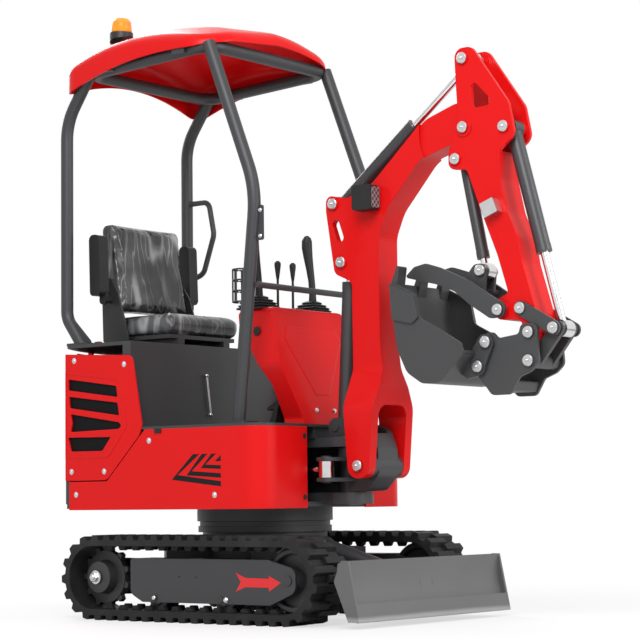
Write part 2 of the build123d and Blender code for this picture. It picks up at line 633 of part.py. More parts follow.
def console():
    """Control tower: narrow foot, wide head, leaning towards the seat."""
    z0 = FLOOR_Z + FLOOR_PLATE
    front = outline((-CONSOLE_FOOT_HALF, z0), (-CONSOLE_FOOT_HALF, z0 + 25, 30),
                    (-CONSOLE_HALF, z0 + 218, 60), (-CONSOLE_HALF + 6, CONSOLE_TOP, 28),
                    (CONSOLE_HALF - 6, CONSOLE_TOP, 28), (CONSOLE_HALF, z0 + 218, 60),
                    (CONSOLE_FOOT_HALF, z0 + 25, 30), (CONSOLE_FOOT_HALF, z0))
    side = outline((215, z0), (305, z0), (290, z0 + 88, 60), (228, CONSOLE_TOP - 66, 40),
                   (215, CONSOLE_TOP, 12), (58, CONSOLE_TOP - 6, 20), (64, CONSOLE_TOP - 61, 30),
                   (200, z0 + 148, 90))
    return front_slab(front, 0, 400) & side_slab(side, -CONSOLE_HALF - 1, CONSOLE_HALF + 1)


def control_levers():
    """Two joysticks in bellows boots, and two short blade and travel levers."""
    top = CONSOLE_TOP - 2
    boot = [(0, top - 6), (46, top - 6), (46, top + 6)]
    for i in range(4):
        r = 40 - 7 * i
        boot += [(r - 6, top + 10 + 12 * i), (r, top + 16 + 12 * i)]
    boot += [(9, top + 62), (8, top + 184), (17, top + 199), (21, top + 244), (19, top + 294),
             (10, top + 310), (0, top + 310)]
    stick = revolve(Plane.XZ * make_face(Polyline(*boot, close=True)), Axis.Z)
    sticks = both_sides(Pos(LEVER_X, LEVER_Y, 0) * stick)
    short = [(0, top - 6), (20, top - 6), (20, top + 8), (5, top + 20), (5, top + 129), (11, top + 139),
             (11, top + 164), (0, top + 169)]
    small = revolve(Plane.XZ * make_face(Polyline(*short, close=True)), Axis.Z)
    sticks += both_sides(Pos(LEVER_X, 45, 0) * small)
    head = console()
    return sticks - head


def handrail():
    x, z, half = 190, CONSOLE_TOP + HANDRAIL_RISE, CONSOLE_HALF - 22
    points = [(x, -half, CONSOLE_TOP - 40), (x, -half, z), (x, half, z), (x, half, CONSOLE_TOP - 40)]
    return pipe(points, 40, 12) - console()


def pedals():
    """Two foot pedals on stems ahead of the seat."""
    z0 = FLOOR_Z + FLOOR_PLATE
    pedal = outline((120, z0), (150, z0), (168, z0 + 70, 4), (190, z0 + 96, 6), (182, z0 + 104, 6),
                    (112, z0 + 66, 6), (116, z0 + 56, 4), (148, z0 + 64, 4))
    return both_sides(side_slab(pedal, 60, 120))


def floor_mat():
    """Ribbed mat on the floor plate, cut round the pedals, posts and console foot."""
    z0 = FLOOR_Z + FLOOR_PLATE
    plan = plan_window(SEAT_BASE_FRONT + 8, 205, -300, 300)
    for y in (-90, 90):
        plan -= plan_window(112, 160, y - 36, y + 36)
    return plan_slab(plan, z0, z0 + MAT)


def seat_rails():
    """Two slide rails with a pan, and the side plates that hold the seat back."""
    rails = both_sides(block(-610, -300, 115, 150, SEAT_BASE_TOP, CUSHION_BOTTOM - 14))
    rails += block(-628, -310, -190, 190, CUSHION_BOTTOM - 16, CUSHION_BOTTOM - SEAT_GAP)
    plate = outline((-640, CUSHION_BOTTOM - 16, 6), (-500, CUSHION_BOTTOM - 16, 6), (-560, 1250, 30),
                    (-600, 1310, 18), (-648, 1310, 18))
    y0 = SEAT_HALF + SEAT_GAP
    rails += both_sides(side_slab(plate, y0, y0 + 7))
    rails += block(-640, -560, -y0 - 1, y0 + 1, CUSHION_BOTTOM - 16, CUSHION_BOTTOM - 6)
    return rails + both_sides(cross_bar((-600, 1222), 12, y0, ARMREST_Y - SEAT_GAP))


def seat_cushion():
    face = outline((CUSHION_REAR, CUSHION_BOTTOM, 10), (CUSHION_FRONT - 20, CUSHION_BOTTOM, 20),
                   (CUSHION_FRONT, CUSHION_TOP - 10, 40), (CUSHION_REAR, CUSHION_TOP - 16, 10))
    return side_slab(face, -SEAT_HALF, SEAT_HALF)


def seat_back():
    z0 = CUSHION_TOP + SEAT_GAP
    face = outline((-636, z0, 12), (-548, z0, 20), (-590, 1400, 200), (-606, BACK_TOP, 36),
                   (-676, BACK_TOP, 30))
    return side_slab(face, -SEAT_HALF, SEAT_HALF)


def armrests():
    """Two padded rests, folded up beside the seat back."""
    face = outline((-640, 1236, 18), (-584, 1236, 18), (-592, 1476, 22), (-646, 1476, 22))
    y0 = ARMREST_Y
    pad = side_slab(face, y0 - 8, y0 + 42) - cross_bar((-600, 1222), 12 + SEAT_GAP, 0, 400)
    lug = side_slab(outline((-618, 1204, 16), (-582, 1204, 16), (-582, 1250, 4), (-618, 1250, 4)), y0,
                    y0 + 12)
    return both_sides(pad + lug)


# Canopy


def ring_tube(radius):
    """Closed roof loop of bent tube, leaning with the roof edge."""
    (fx, fz), (rx, rz) = RING_FRONT, RING_REAR
    tilt = degrees(atan2(fz - rz, fx - rx))
    length = hypot(fx - rx, fz - rz)
    bend = 70
    frame = Plane(((fx + rx) / 2, 0, (fz + rz) / 2), x_dir=(fx - rx, 0, fz - rz),
                  z_dir=(-sin(radians(tilt)), 0, cos(radians(tilt))))
    path = frame * RectangleRounded(length, 2 * POST_Y, bend).wire()
    start = path @ 0
    return sweep(Plane(start, z_dir=path % 0) * Circle(radius), path)


def roof_ring():
    loop = ring_tube(POST_R)
    (fx, fz), (rx, rz) = RING_FRONT, RING_REAR
    for share in (0.2, 0.8):
        x, z = rx + (fx - rx) * share, rz + (fz - rz) * share
        pad = block(x - 30, x + 30, POST_Y + 10, ROOF_HALF - ROOF_WALL - SEAT_GAP, z - 15, z + 15)
        loop += both_sides(pad)
    return loop


def post_foot(x, y, z):
    """Bolted foot plate of a post."""
    return plan_slab(Pos(x, y) * RectangleRounded(110, 90, 12), z, z + 10)


def rear_posts():
    points = [(-615, POST_Y, SEAT_BASE_TOP), (-700, POST_Y, 1150), (-700, POST_Y, 1920), (-560, POST_Y, 2112)]
    post = pipe(points, [80, 220], POST_R)
    post += post_foot(-610, POST_Y, SEAT_BASE_TOP)
    post -= block(-800, -400, 200, 500, SEAT_BASE_TOP - 100, SEAT_BASE_TOP)
    gusset = outline((-650, SEAT_BASE_TOP + 2), (-570, SEAT_BASE_TOP + 2), (-575, SEAT_BASE_TOP + 20, 4),
                     (-672, 1150))
    post += side_slab(gusset, POST_Y - 5, POST_Y + 5)
    return both_sides(post - ring_tube(POST_R + SEAT_GAP))


def front_posts():
    z0 = FLOOR_Z + FLOOR_PLATE
    points = [(173, POST_Y, z0), (262, POST_Y, 1560), (40, POST_Y, 2130)]
    post = pipe(points, 400, POST_R)
    post += post_foot(176, POST_Y, z0)
    post -= block(0, 400, 200, 500, z0 - 100, z0)
    return both_sides(post - ring_tube(POST_R + SEAT_GAP))


def roof_form(inset, drop):
    """Crowned roof block: side view and front view run past the edges, and the plan trims them."""
    x0, x1 = ROOF_REAR + inset, ROOF_FRONT - inset
    half = ROOF_HALF - inset
    past = 20
    middle = (x0 + x1) / 2
    crown = ROOF_CROWN - inset
    slope = (ROOF_FRONT_Z - ROOF_REAR_Z) / (ROOF_FRONT - ROOF_REAR) * past
    rear, front = ROOF_REAR_Z - drop - slope, ROOF_FRONT_Z - drop + slope
    top = ThreePointArc((x0 - past, ROOF_REAR_Z + 104 - inset), (middle, crown),
                        (x1 + past, ROOF_FRONT_Z + 48 - inset))
    side = make_face([top, Line(top @ 1, (x1 + past, front)), Line((x1 + past, front), (x0 - past, rear)),
                      Line((x0 - past, rear), top @ 0)])
    wide = half + past
    shoulder = ROOF_CROWN - 68 - inset
    arch = ThreePointArc((-wide, shoulder), (0, crown), (wide, shoulder))
    across = make_face([arch, Line(arch @ 1, (wide, 1900)), Line((wide, 1900), (-wide, 1900)),
                        Line((-wide, 1900), arch @ 0)])
    plan = Pos(middle, 0) * RectangleRounded(x1 - x0, 2 * half, 90 - inset)
    form = side_slab(side, -wide, wide) & front_slab(across, x0 - past, x1 + past)
    return form & plan_slab(plan, 1900, 2400)


def canopy_roof():
    return roof_form(0, 0) - roof_form(ROOF_WALL, 60)


def beacon():
    """Warning lamp: base that follows the roof, and a domed lens."""
    x, y = BEACON
    base = upright_bar((x, y), 46, ROOF_CROWN - 90, ROOF_CROWN - 4) - roof_form(0, 0)
    z = ROOF_CROWN - 4
    dome = make_face(Polyline((0, z), (40, z), (42, z + 6), (38, z + 44), (28, z + 56), (0, z + 60),
                              close=True))
    return base + Pos(x, y, 0) * revolve(Plane.XZ * dome, Axis.Z)


def grab_handle():
    points = [(-700, POST_Y, 1668), (-580, POST_Y, 1668), (-552, POST_Y, 1530), (-610, POST_Y, 1372),
              (-700, POST_Y, 1340)]
    loop = pipe(points, [35, 60, 45], 11)
    return loop - upright_bar((-700, POST_Y), POST_R + SEAT_GAP, 1200, 1900)


# Working end

def link_face(first, second, r_first, r_second):
    """Side view of a link: two round ends and their common tangents."""
    rings = [Pos(*first) * Circle(r_first), Pos(*second) * Circle(r_second)]
    return make_hull([edge for ring in rings for edge in ring.edges()])


def ears(face, inner, thick):
    """The same plate on both sides of the middle plane."""
    return both_sides(side_slab(face, inner, inner + thick))


def swing_post():
    """Casting on the swing pin: boom foot boss in front, boom ram ears above, swing ram arm at the side."""
    low, high = LOWER_LUG[1] + SIDE_PLAY, UPPER_LUG[0] - SIDE_PLAY
    fx, fz = BOOM_FOOT
    bx, bz = BOOM_RAM_BASE
    post = upright_bar((SWING_X, 0), SWING_LUG_R + 2, low, high)
    front = SWING_X + SWING_LUG_R + 14
    over = UPPER_LUG[1] + 6
    face = outline((SWING_X, low, 6), (fx - 10, low + 4, 40), (fx + 46, fz - 30, 40),
                   (fx + 40, fz + 60, 40), (fx + 12, fz + 134, 30), (fx - 60, bz + 12, 30),
                   (bx + 34, bz + 34, 30), (bx - 34, bz + 34, 33), (bx - 34, over, 30), (front, over, 6),
                   (front, high, 6), (SWING_X, high, 6))
    post += side_slab(face, -60, 60)
    post += cross_bar(BOOM_FOOT, 47, -FOOT_INNER + SIDE_PLAY, FOOT_INNER - SIDE_PLAY)
    post += cross_bar(BOOM_FOOT, ARM_PIN_R, -FOOT_OUTER - 6, FOOT_OUTER + 6)
    ex, ey = SWING_RAM_EYE
    gap = ear_gap(SWING_RAM)
    arm = outline((SWING_X - 30, 40, 10), (ex - 34, ey + 10, 20), (ex - 32, ey - 32, 31),
                  (ex + 32, ey - 32, 31), (SWING_X + 58, -40, 20), (SWING_X + 40, 40, 10))
    for z0 in (SWING_RAM_Z - gap - 14, SWING_RAM_Z + gap):
        post += plan_slab(arm, z0, z0 + 14)
        post += upright_bar(SWING_RAM_EYE, 20, z0 + (14 if z0 > SWING_RAM_Z else -5),
                            z0 + (19 if z0 > SWING_RAM_Z else 0))
    post -= upright_bar((SWING_X, 0), SWING_PIN_R + PIN_PLAY, low - 50, high + 20)
    side = ear_gap(BOOM_RAM)
    post -= block(bx - 60, fx + 80, -side, side, over + 6, bz + 80)
    post -= block(bx - 60, front, -side, side, over - 10, bz + 80)
    return post + cross_bar(BOOM_RAM_BASE, PIN_R, -66, 66)


def boom_side():
    """Side view of the boom: foot, column, rear ears, gooseneck and tip."""
    fx, fz = BOOM_FOOT
    hx, hz = BOOM_RAM_EYE
    ex, ez = ARM_RAM_BASE
    ax, az = ARM_PIVOT
    foot = 45
    return outline((fx - foot, fz - foot, foot - 1), (472, 800, 90), (470, hz - 75, 30),
                   (hx - 34, hz - 40, 34), (ex - 36, ez - 25, 40), (ex - 36, ez + 36, 35),
                   (ex + 60, ez + 16, 40), (556, 1570, 90), (800, 1788, 90), (ax - 30, az + 98, 60),
                   (ax + 46, az + 50, 45), (ax + 46, az - 46, 45), (ax - 50, az - 48, 60), (788, 1652, 120),
                   (632, 1478, 140), (594, 1390, 120), (594, 990, 200), (612, 840, 100),
                   (fx + foot, fz - foot, foot - 1))


def boom():
    """Gooseneck box with a flared foot fork, ear plates behind the knee and a narrow tip."""
    flare = outline((-BOOM_HALF, 1950), (-BOOM_HALF, 905, 80), (-FOOT_OUTER, 765, 80), (-FOOT_OUTER, 480),
                    (-FOOT_INNER, 480), (-FOOT_INNER, 775, 45), (FOOT_INNER, 775, 45), (FOOT_INNER, 480),
                    (FOOT_OUTER, 480), (FOOT_OUTER, 765, 80), (BOOM_HALF, 905, 80), (BOOM_HALF, 1950))
    form = side_slab(boom_side(), -FOOT_OUTER - 1, FOOT_OUTER + 1) & front_slab(flare, 300, 1100)
    hx, hz = BOOM_RAM_EYE
    ex, ez = ARM_RAM_BASE
    gap = ear_gap(BOOM_RAM)
    pocket = outline((hx - 120, hz - 110), (492, hz - 110), (492, ez - 20, 30), (ex + 62, ez + 110),
                     (hx - 120, ez + 110))
    form -= side_slab(pocket, -gap, gap)
    form -= both_sides(cross_bar(ARM_PIVOT, BOOM_TIP_REACH, BOOM_TIP_HALF, FOOT_OUTER))
    form -= cross_bar(ARM_PIVOT, ARM_PIN_R + PIN_PLAY, -200, 200)
    form -= cross_bar(BOOM_FOOT, ARM_PIN_R + PIN_PLAY, -200, 200)
    form += both_sides(cross_bar(BOOM_RAM_EYE, 24, BOOM_HALF, BOOM_HALF + 7))
    form += cross_bar(ARM_RAM_BASE, PIN_R, -gap - 2,
                      gap + 2) + both_sides(cross_bar(ARM_RAM_BASE, 24, BOOM_HALF, BOOM_HALF + 7))
    spacer = cross_bar(ARM_RAM_BASE, 24, ear_gap(ARM_RAM), gap + 1)
    form += both_sides(spacer)
    slot = link_face((418, 1395), (400, 1445), 16, 16)
    return form - side_slab(slot, -200, 200)


def boom_light():
    """Square work lamp on the right flank of the boom knee."""
    y = -BOOM_HALF
    lamp = block(520, 605, y - 62, y - 12, 1478, 1570)
    lamp = fillet(lamp.edges().filter_by(Axis.Y), 12)
    return lamp + block(545, 580, y - 14, y, 1500, 1545)


def arm_side():
    """Side view of the arm with its ram ears, thumb bracket and tip."""
    rx, rz = ARM_RAM_EYE
    kx, kz = BUCKET_RAM_BASE
    tx, tz = THUMB_RAM_BASE
    vx, vz = THUMB_PIVOT
    ux, uz = HITCH_PIVOT
    return outline((rx - 36, rz + 38, 35), (rx + 36, rz + 38, 35), (kx + 20, kz + 85, 50),
                   (kx + 44, kz - 32, 42), (kx - 22, kz - 82, 30), (1124, 1540, 80), (1150, 1425, 120),
                   (1192, 1330, 90), (1208, 1240, 90), (ux + 14, uz + 70, 50), (ux + 36, uz - 34, 34),
                   (ux - 34, uz - 36, 33), (ux - 44, uz + 44, 20), (vx + 34, vz - 34, 14),
                   (vx - 30, vz - 32, 29), (vx - 30, vz + 34, 29), (vx + 26, vz + 58, 15),
                   (1108, 1274, 100), (1042, 1437, 150), (tx + 46, tz - 42, 20), (tx - 31, tz - 34, 29),
                   (tx - 31, tz + 30, 28), (930, 1705, 40), (952, 1790, 50), (rx - 32, rz - 80, 80))


def arm():
    """Two side plates that straddle the boom tip, boxed in below, with ram bosses and pivots."""
    face = arm_side()
    window = outline((1008, 1912, 14), (1108, 1806, 16), (1014, 1800, 16))
    inner = ARM_HALF - ARM_PLATE
    form = ears(face - window, inner, ARM_PLATE)
    closed = outline((900, 1545), (1250, 1690), (1400, 1300), (1400, 900), (900, 900))
    closed -= disc_face(THUMB_RAM_BASE, 48)
    form += side_slab(face & closed, -inner - 1, inner + 1)
    for pin, sizes in ((BUCKET_RAM_BASE, BUCKET_RAM), (THUMB_RAM_BASE, THUMB_RAM)):
        gap = ear_gap(sizes)
        form += both_sides(cross_bar(pin, 26, gap, inner + 1))
        form += cross_bar(pin, PIN_R, -gap - 1, gap + 1)
        form += both_sides(cross_bar(pin, 23, ARM_HALF - 1, ARM_HALF + 6))
    gap = ear_gap(ARM_RAM)
    form += both_sides(cross_bar(ARM_RAM_EYE, 28, gap, inner + 1)
                       + cross_bar(ARM_RAM_EYE, 23, ARM_HALF - 1, ARM_HALF + 6))
    form += cross_bar(ARM_PIVOT, ARM_PIN_R, -ARM_HALF - 8, ARM_HALF + 8)
    form += both_sides(cross_bar(ARM_PIVOT, 34, ARM_HALF - 1, ARM_HALF + 4))
    form += both_sides(cross_bar(THUMB_PIVOT, 28, ARM_HALF - 1, THUMB_INNER - SIDE_PLAY))
    form += cross_bar(THUMB_PIVOT, PIN_R, -THUMB_INNER - THUMB_PLATE - 5, THUMB_INNER + THUMB_PLATE + 5)
    form += both_sides(cross_bar(HITCH_PIVOT, 24, ARM_HALF - 1, HITCH_INNER - SIDE_PLAY))
    form -= cross_bar(HITCH_PIVOT, PIN_R + PIN_PLAY, -200, 200)
    return form - cross_bar(ROCKER_PIVOT, PIN_R + PIN_PLAY, -200, 200)


def rocker_links():
    """Pair of side links on one pin through the arm, each with its stub for the tipping link."""
    plate = link_face(ROCKER_PIVOT, ROCKER_EYE, 25, 25)
    outer = ROCKER_INNER + ROCKER_PLATE
    links = ears(plate, ROCKER_INNER, ROCKER_PLATE) + cross_bar(ROCKER_PIVOT, PIN_R, -outer - 3, outer + 3)
    return links + both_sides(cross_bar(ROCKER_EYE, PIN_R, ear_gap(BUCKET_RAM) + 0.5, outer + 3))


def tipping_link():
    """Link from the rockers to the hitch: two cheeks joined by the boss at the hitch."""
    inner = ear_gap(BUCKET_RAM) + 0.5
    plate = link_face(ROCKER_EYE, HITCH_LINK_PIN, 25, 25)
    link = ears(plate, inner, TIPPING_CHEEK)
    link -= cross_bar(ROCKER_EYE, PIN_R + PIN_PLAY, -200, 200)
    return link + cross_bar(HITCH_LINK_PIN, 25, -HITCH_INNER + 2, HITCH_INNER - 2)


def quick_hitch():
    """Two side plates with jaws for the bucket pins, joined by a cross box."""
    ux, uz = HITCH_PIVOT
    lx, lz = HITCH_LINK_PIN
    (ax, az), (bx, bz) = BUCKET_PINS
    plate = outline((ax - 14, az + 34, 16), (ax + 18, az + 34, 16), (ax + 40, az + 12, 12),
                    (ux - 42, uz - 4, 16), (ux - 32, uz + 32, 28), (ux + 34, uz + 30, 32),
                    (ux + 34, lz + 40, 30), (lx + 40, lz - 8, 28), (lx + 8, lz - 36, 20),
                    (lx - 40, lz - 54, 20), (1168, 788, 24), (1092, 788, 24), (bx - 12, bz - 30, 16),
                    (bx - 12, bz + 26, 14), (ax - 14, az - 22, 14))
    plate -= disc_face(BUCKET_PINS[0], PIN_R + SEAT_GAP) + disc_face(BUCKET_PINS[1], PIN_R + SEAT_GAP)
    hitch = ears(plate, HITCH_INNER, HITCH_PLATE)
    box = outline((1082, 800, 8), (1172, 800, 8), (1186, 838, 8), (1072, 838, 8))
    hitch += side_slab(box, -HITCH_INNER - 1, HITCH_INNER + 1)
    outer = HITCH_INNER + HITCH_PLATE
    hitch += cross_bar(HITCH_PIVOT, PIN_R, -outer - 6, outer + 6)
    return hitch + both_sides(cross_bar(HITCH_LINK_PIN, 22, outer - 1, outer + 6))


def bucket():
    """Curved shell between two side plates, with lip, teeth, side cutters and pin ears."""
    lx, lz = BUCKET_LIP
    side = outline((lx, lz), *BUCKET_BACK, *BUCKET_RIM, (lx + 16, lz))
    wide = outline((lx - 3, lz + 90), *BUCKET_BACK, (1076, 1010), (1000, 1250), (lx + 60, lz + 120))
    form = side_slab(side, -BUCKET_HALF, BUCKET_HALF)
    inside = BUCKET_HALF - BUCKET_SIDE
    form -= side_slab(offset(wide, -BUCKET_SHELL), -inside, inside)
    tooth = outline((lx - 7, lz - 60), (lx - 7, lz - 8), (lx + 22, lz + 62, 3), (lx + 32, lz + 58, 3),
                    (lx + 22, lz - 8), (lx + 14, lz - 40), (lx + 8, lz - 60))
    for y in TOOTH_YS:
        form += side_slab(tooth, y - 24, y + 24)
    cutter = outline((lx + 2, lz - 4), (lx + 12, lz - 130, 10), (lx + 96, lz - 150, 20),
                     (lx + 124, lz - 128, 10), (lx + 106, lz - 48, 10))
    form += both_sides(side_slab(cutter, BUCKET_HALF - 1, BUCKET_HALF + 8))
    (ax, az), (bx, bz) = BUCKET_PINS
    ear = outline((ax + 28, az - 6, 26), (ax + 12, az + 30, 26), (ax - 24, az + 26, 20), (1024, 952),
                  (966, 872), (1000, bz - 40), (bx + 20, bz - 28, 26), (bx + 30, bz + 8, 22))
    form += ears(ear, BUCKET_EAR_INNER, BUCKET_EAR)
    reach = BUCKET_EAR_INNER + BUCKET_EAR
    for pin in BUCKET_PINS:
        form += cross_bar(pin, PIN_R, -reach, reach)
        form += both_sides(cross_bar(pin, 22, reach - 1, reach + 7))
    return form


def thumb():
    """Two tine plates joined by a cross plate, with ears for the thumb ram."""
    vx, vz = THUMB_PIVOT
    qx, qz = THUMB_RAM_EYE
    tine = outline((vx + 30, vz - 24, 28), (vx + 24, vz + 26, 28), (vx - 5, vz + 36, 12), (1008, 1190, 60),
                   (882, 1246, 60), (822, 1265, 30), (772, 1256, 20), (736, 1226, 5), (744, 1218, 5),
                   (868, 1187, 60), (944, 1157, 60), (1006, 1107, 40), (vx - 34, vz - 28, 26))
    tine -= disc_face(THUMB_PIVOT, PIN_R + PIN_PLAY)
    form = ears(tine, THUMB_INNER, THUMB_PLATE)
    web = outline((qx - 92, qz - 26), (qx + 8, qz - 66), (qx + 2, qz - 80), (qx - 98, qz - 40))
    form += side_slab(web, -THUMB_INNER - 1, THUMB_INNER + 1)
    gap = ear_gap(THUMB_RAM)
    ear = outline((qx - 80, qz - 36), (qx - 26, qz + 24, 24), (qx + 24, qz + 24, 24), (qx + 14, qz - 74),
                  (qx - 10, qz - 72))
    form += ears(ear, gap, 12) + both_sides(cross_bar(THUMB_RAM_EYE, 20, gap + 11, gap + 17))
    return form - cross_bar(THUMB_RAM_EYE, RAM_EYE_R + 6, -gap, gap)


# Every node of the machine

boom_barrel, boom_rod = ram(at_y(BOOM_RAM_BASE), at_y(BOOM_RAM_EYE), BOOM_RAM)
arm_barrel, arm_rod = ram(at_y(ARM_RAM_BASE), at_y(ARM_RAM_EYE), ARM_RAM)
bucket_barrel, bucket_rod = ram(at_y(BUCKET_RAM_BASE), at_y(ROCKER_EYE), BUCKET_RAM)
thumb_barrel, thumb_rod = ram(at_y(THUMB_RAM_BASE), at_y(THUMB_RAM_EYE), THUMB_RAM)
blade_barrel, blade_rod = ram(at_y(BLADE_RAM_BASE), at_y(BLADE_RAM_EYE), BLADE_RAM)
swing_barrel, swing_rod = ram((*SWING_RAM_BASE, SWING_RAM_Z), (*SWING_RAM_EYE, SWING_RAM_Z), SWING_RAM,
                              (0, 0, 1))

nodes = {
    "track_frame": track_frame(),
    "left_track": rubber_track(1),
    "right_track": rubber_track(-1),
    "sprockets": sprocket(1) + sprocket(-1),
    "idlers": idler(1) + idler(-1),
    "track_rollers": [roller(x, side) for x in ROLLER_XS for side in (1, -1)],
    "slew_ring": slew_ring(),
    "dozer_blade": dozer_blade(),
    "blade_cylinder_barrel": blade_barrel,
    "blade_cylinder_rod": blade_rod,
    "deck_frame": deck_frame(),
    "floor_plate": floor_plate(),
    "right_side_cover": side_cover(-1),
    "left_side_cover": side_cover(1),
    "right_vent_cover": vent_cover(-1),
    "left_vent_cover": vent_cover(1),
    "counterweight": counterweight(),
    "rear_bonnet": rear_bonnet(),
    "seat_base": seat_base(),
    "engine": engine(),
    "console": console(),
    "control_levers": control_levers(),
    "handrail": handrail(),
    "pedals": pedals(),
    "floor_mat": floor_mat(),
    "seat_rails": seat_rails(),
    "seat_cushion": seat_cushion(),
    "seat_back": seat_back(),
    "armrests": armrests(),
    "roof_ring": roof_ring(),
    "rear_posts": rear_posts(),
    "front_posts": front_posts(),
    "canopy_roof": canopy_roof(),
    "beacon": beacon(),
    "grab_handle": grab_handle(),
    "swing_post": swing_post(),
    "swing_cylinder_barrel": swing_barrel,
    "swing_cylinder_rod": swing_rod,
    "boom": boom(),
    "boom_light": boom_light(),
    "boom_cylinder_barrel": boom_barrel,
    "boom_cylinder_rod": boom_rod,
    "arm_cylinder_barrel": arm_barrel,
    "arm_cylinder_rod": arm_rod,
    "arm": arm(),
    "bucket_cylinder_barrel": bucket_barrel,
    "bucket_cylinder_rod": bucket_rod,
    "rocker_links": rocker_links(),
    "tipping_link": tipping_link(),
    "quick_hitch": quick_hitch(),
    "bucket": bucket(),
    "thumb": thumb(),
    "thumb_cylinder_barrel": thumb_barrel,
    "thumb_cylinder_rod": thumb_rod,
}

os.makedirs("parts", exist_ok=True)
for name, shape in nodes.items():
    solids = shape if isinstance(shape, list) else [shape]
    export_step(Compound(children=[s for piece in solids for s in piece.solids()]), f"parts/{name}.step")
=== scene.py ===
import bpy
import numpy as np
from mathutils import Matrix


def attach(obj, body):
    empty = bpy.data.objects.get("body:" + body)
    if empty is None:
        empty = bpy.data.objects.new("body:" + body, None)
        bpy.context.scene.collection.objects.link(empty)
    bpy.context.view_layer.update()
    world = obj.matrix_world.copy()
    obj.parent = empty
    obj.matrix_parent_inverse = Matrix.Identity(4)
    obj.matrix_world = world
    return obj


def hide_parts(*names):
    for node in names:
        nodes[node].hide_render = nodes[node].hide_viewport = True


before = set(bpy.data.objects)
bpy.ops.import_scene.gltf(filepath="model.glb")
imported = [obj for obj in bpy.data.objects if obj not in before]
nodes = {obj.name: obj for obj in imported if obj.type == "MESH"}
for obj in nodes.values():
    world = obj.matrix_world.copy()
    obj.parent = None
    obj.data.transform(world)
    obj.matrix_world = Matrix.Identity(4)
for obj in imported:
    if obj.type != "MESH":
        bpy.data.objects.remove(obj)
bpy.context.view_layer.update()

# The camera stands low, in front of the right-hand track, with a long lens.
# Its place and turns are those that the track and the canopy have in the photograph.
CAMERA_PLACE = (5.01807, -6.01874, 0.44393)
CAMERA_TURNS = (38.24, 4.92, -0.66)
LENS_MM, SENSOR_MM, FAR_CLIP = 116.07, 36.0, 200.0
heading, rise, roll = np.radians(CAMERA_TURNS)
look = np.array((-np.sin(heading) * np.cos(rise), np.cos(heading) * np.cos(rise), np.sin(rise)))
across = np.array((np.cos(heading), np.sin(heading), 0.0))
above = np.cross(across, look)
turned = np.eye(4)
turned[:3, 0] = across * np.cos(roll) + above * np.sin(roll)
turned[:3, 1] = above * np.cos(roll) - across * np.sin(roll)
turned[:3, 2] = -look
turned[:3, 3] = CAMERA_PLACE
lens = bpy.data.cameras.new("camera")
lens.sensor_width = SENSOR_MM
lens.lens = LENS_MM
lens.clip_end = FAR_CLIP
camera = bpy.data.objects.new("camera", lens)
camera.matrix_world = Matrix(turned.tolist())
bpy.context.scene.collection.objects.link(camera)
bpy.context.scene.camera = camera
bpy.context.scene.view_settings.view_transform = "Standard"


# The studio: a pale floor under a white sky, a large soft lamp over the right front and two weaker ones.
# The sky shows white to the camera and in reflections, and lights the machine more weakly.
class Shade:
    """One socket of a node tree: sums written on it add Math nodes, and node() adds any other node."""

    def __init__(self, tree, socket):
        self.tree = tree
        self.socket = socket

    def node(self, kind, settings, inputs, out=0):
        """A new node: its settings are set first, then each socket gets a value or a link."""
        made = self.tree.nodes.new(kind)
        for name, value in settings.items():
            setattr(made, name, value)
        for key, value in inputs.items():
            if isinstance(value, Shade):
                self.tree.links.new(value.socket, made.inputs[key])
            else:
                made.inputs[key].default_value = value
        return Shade(self.tree, made.outputs[out])

    def sum_with(self, operation, *values):
        """A Math node of that operation on the values."""
        return self.node("ShaderNodeMath", {"operation": operation}, dict(enumerate(values)))

    def __add__(self, other):
        return self.sum_with("ADD", self, other)

    def __sub__(self, other):
        return self.sum_with("SUBTRACT", self, other)

    def __rsub__(self, other):
        return self.sum_with("SUBTRACT", other, self)

    def __mul__(self, other):
        return self.sum_with("MULTIPLY", self, other)

    def __truediv__(self, other):
        return self.sum_with("DIVIDE", self, other)

    def __rtruediv__(self, other):
        return self.sum_with("DIVIDE", other, self)

    def __lt__(self, other):
        return self.sum_with("LESS_THAN", self, other)

    def __abs__(self):
        return self.sum_with("ABSOLUTE", self)

    __radd__ = __add__
    __rmul__ = __mul__

    def between(self, low, high):
        """Rises smoothly from 0 at low to 1 at high."""
        return self.node("ShaderNodeMapRange", {"interpolation_type": "SMOOTHSTEP"},
                         {"Value": self, "From Min": low, "From Max": high})

    def noise(self, scale, detail=3.0, rough=0.5):
        """Cloudy pattern on this place, with so many cycles to the metre."""
        return self.node("ShaderNodeTexNoise", {},
                         {"Vector": self, "Scale": scale, "Detail": detail, "Roughness": rough})

    def mapped(self, scale, turn=(0.0, 0.0, 0.0)):
        """This place, stretched along each axis and turned."""
        return self.node("ShaderNodeMapping", {}, {"Vector": self, "Rotation": turn, "Scale": scale})

    def blend(self, low, high):
        """The colour low where this is 0, the colour high where it is 1."""
        return self.node("ShaderNodeMix", {"data_type": "RGBA"}, {0: self, 6: low, 7: high}, 2)

    def part(self, letter):
        """One coordinate of a place, in metres."""
        return self.node("ShaderNodeSeparateXYZ", {}, {0: self}, "XYZ".index(letter))

    def bevel(self, radius):
        """The surface's normal, turned smoothly over an edge within that radius."""
        return self.node("ShaderNodeBevel", {"samples": 4}, {"Radius": radius})

    def bump(self, depth, strength=1.0, facing=None):
        """The normal of a surface raised by this times the depth, over the normal that it faced before."""
        inputs = {"Strength": strength, "Distance": depth, "Height": self}
        if facing is not None:
            inputs["Normal"] = facing
        return self.node("ShaderNodeBump", {}, inputs)

    def feed(self, shader, socket):
        """Links this to a socket of a shader."""
        self.tree.links.new(self.socket, shader.inputs[socket])


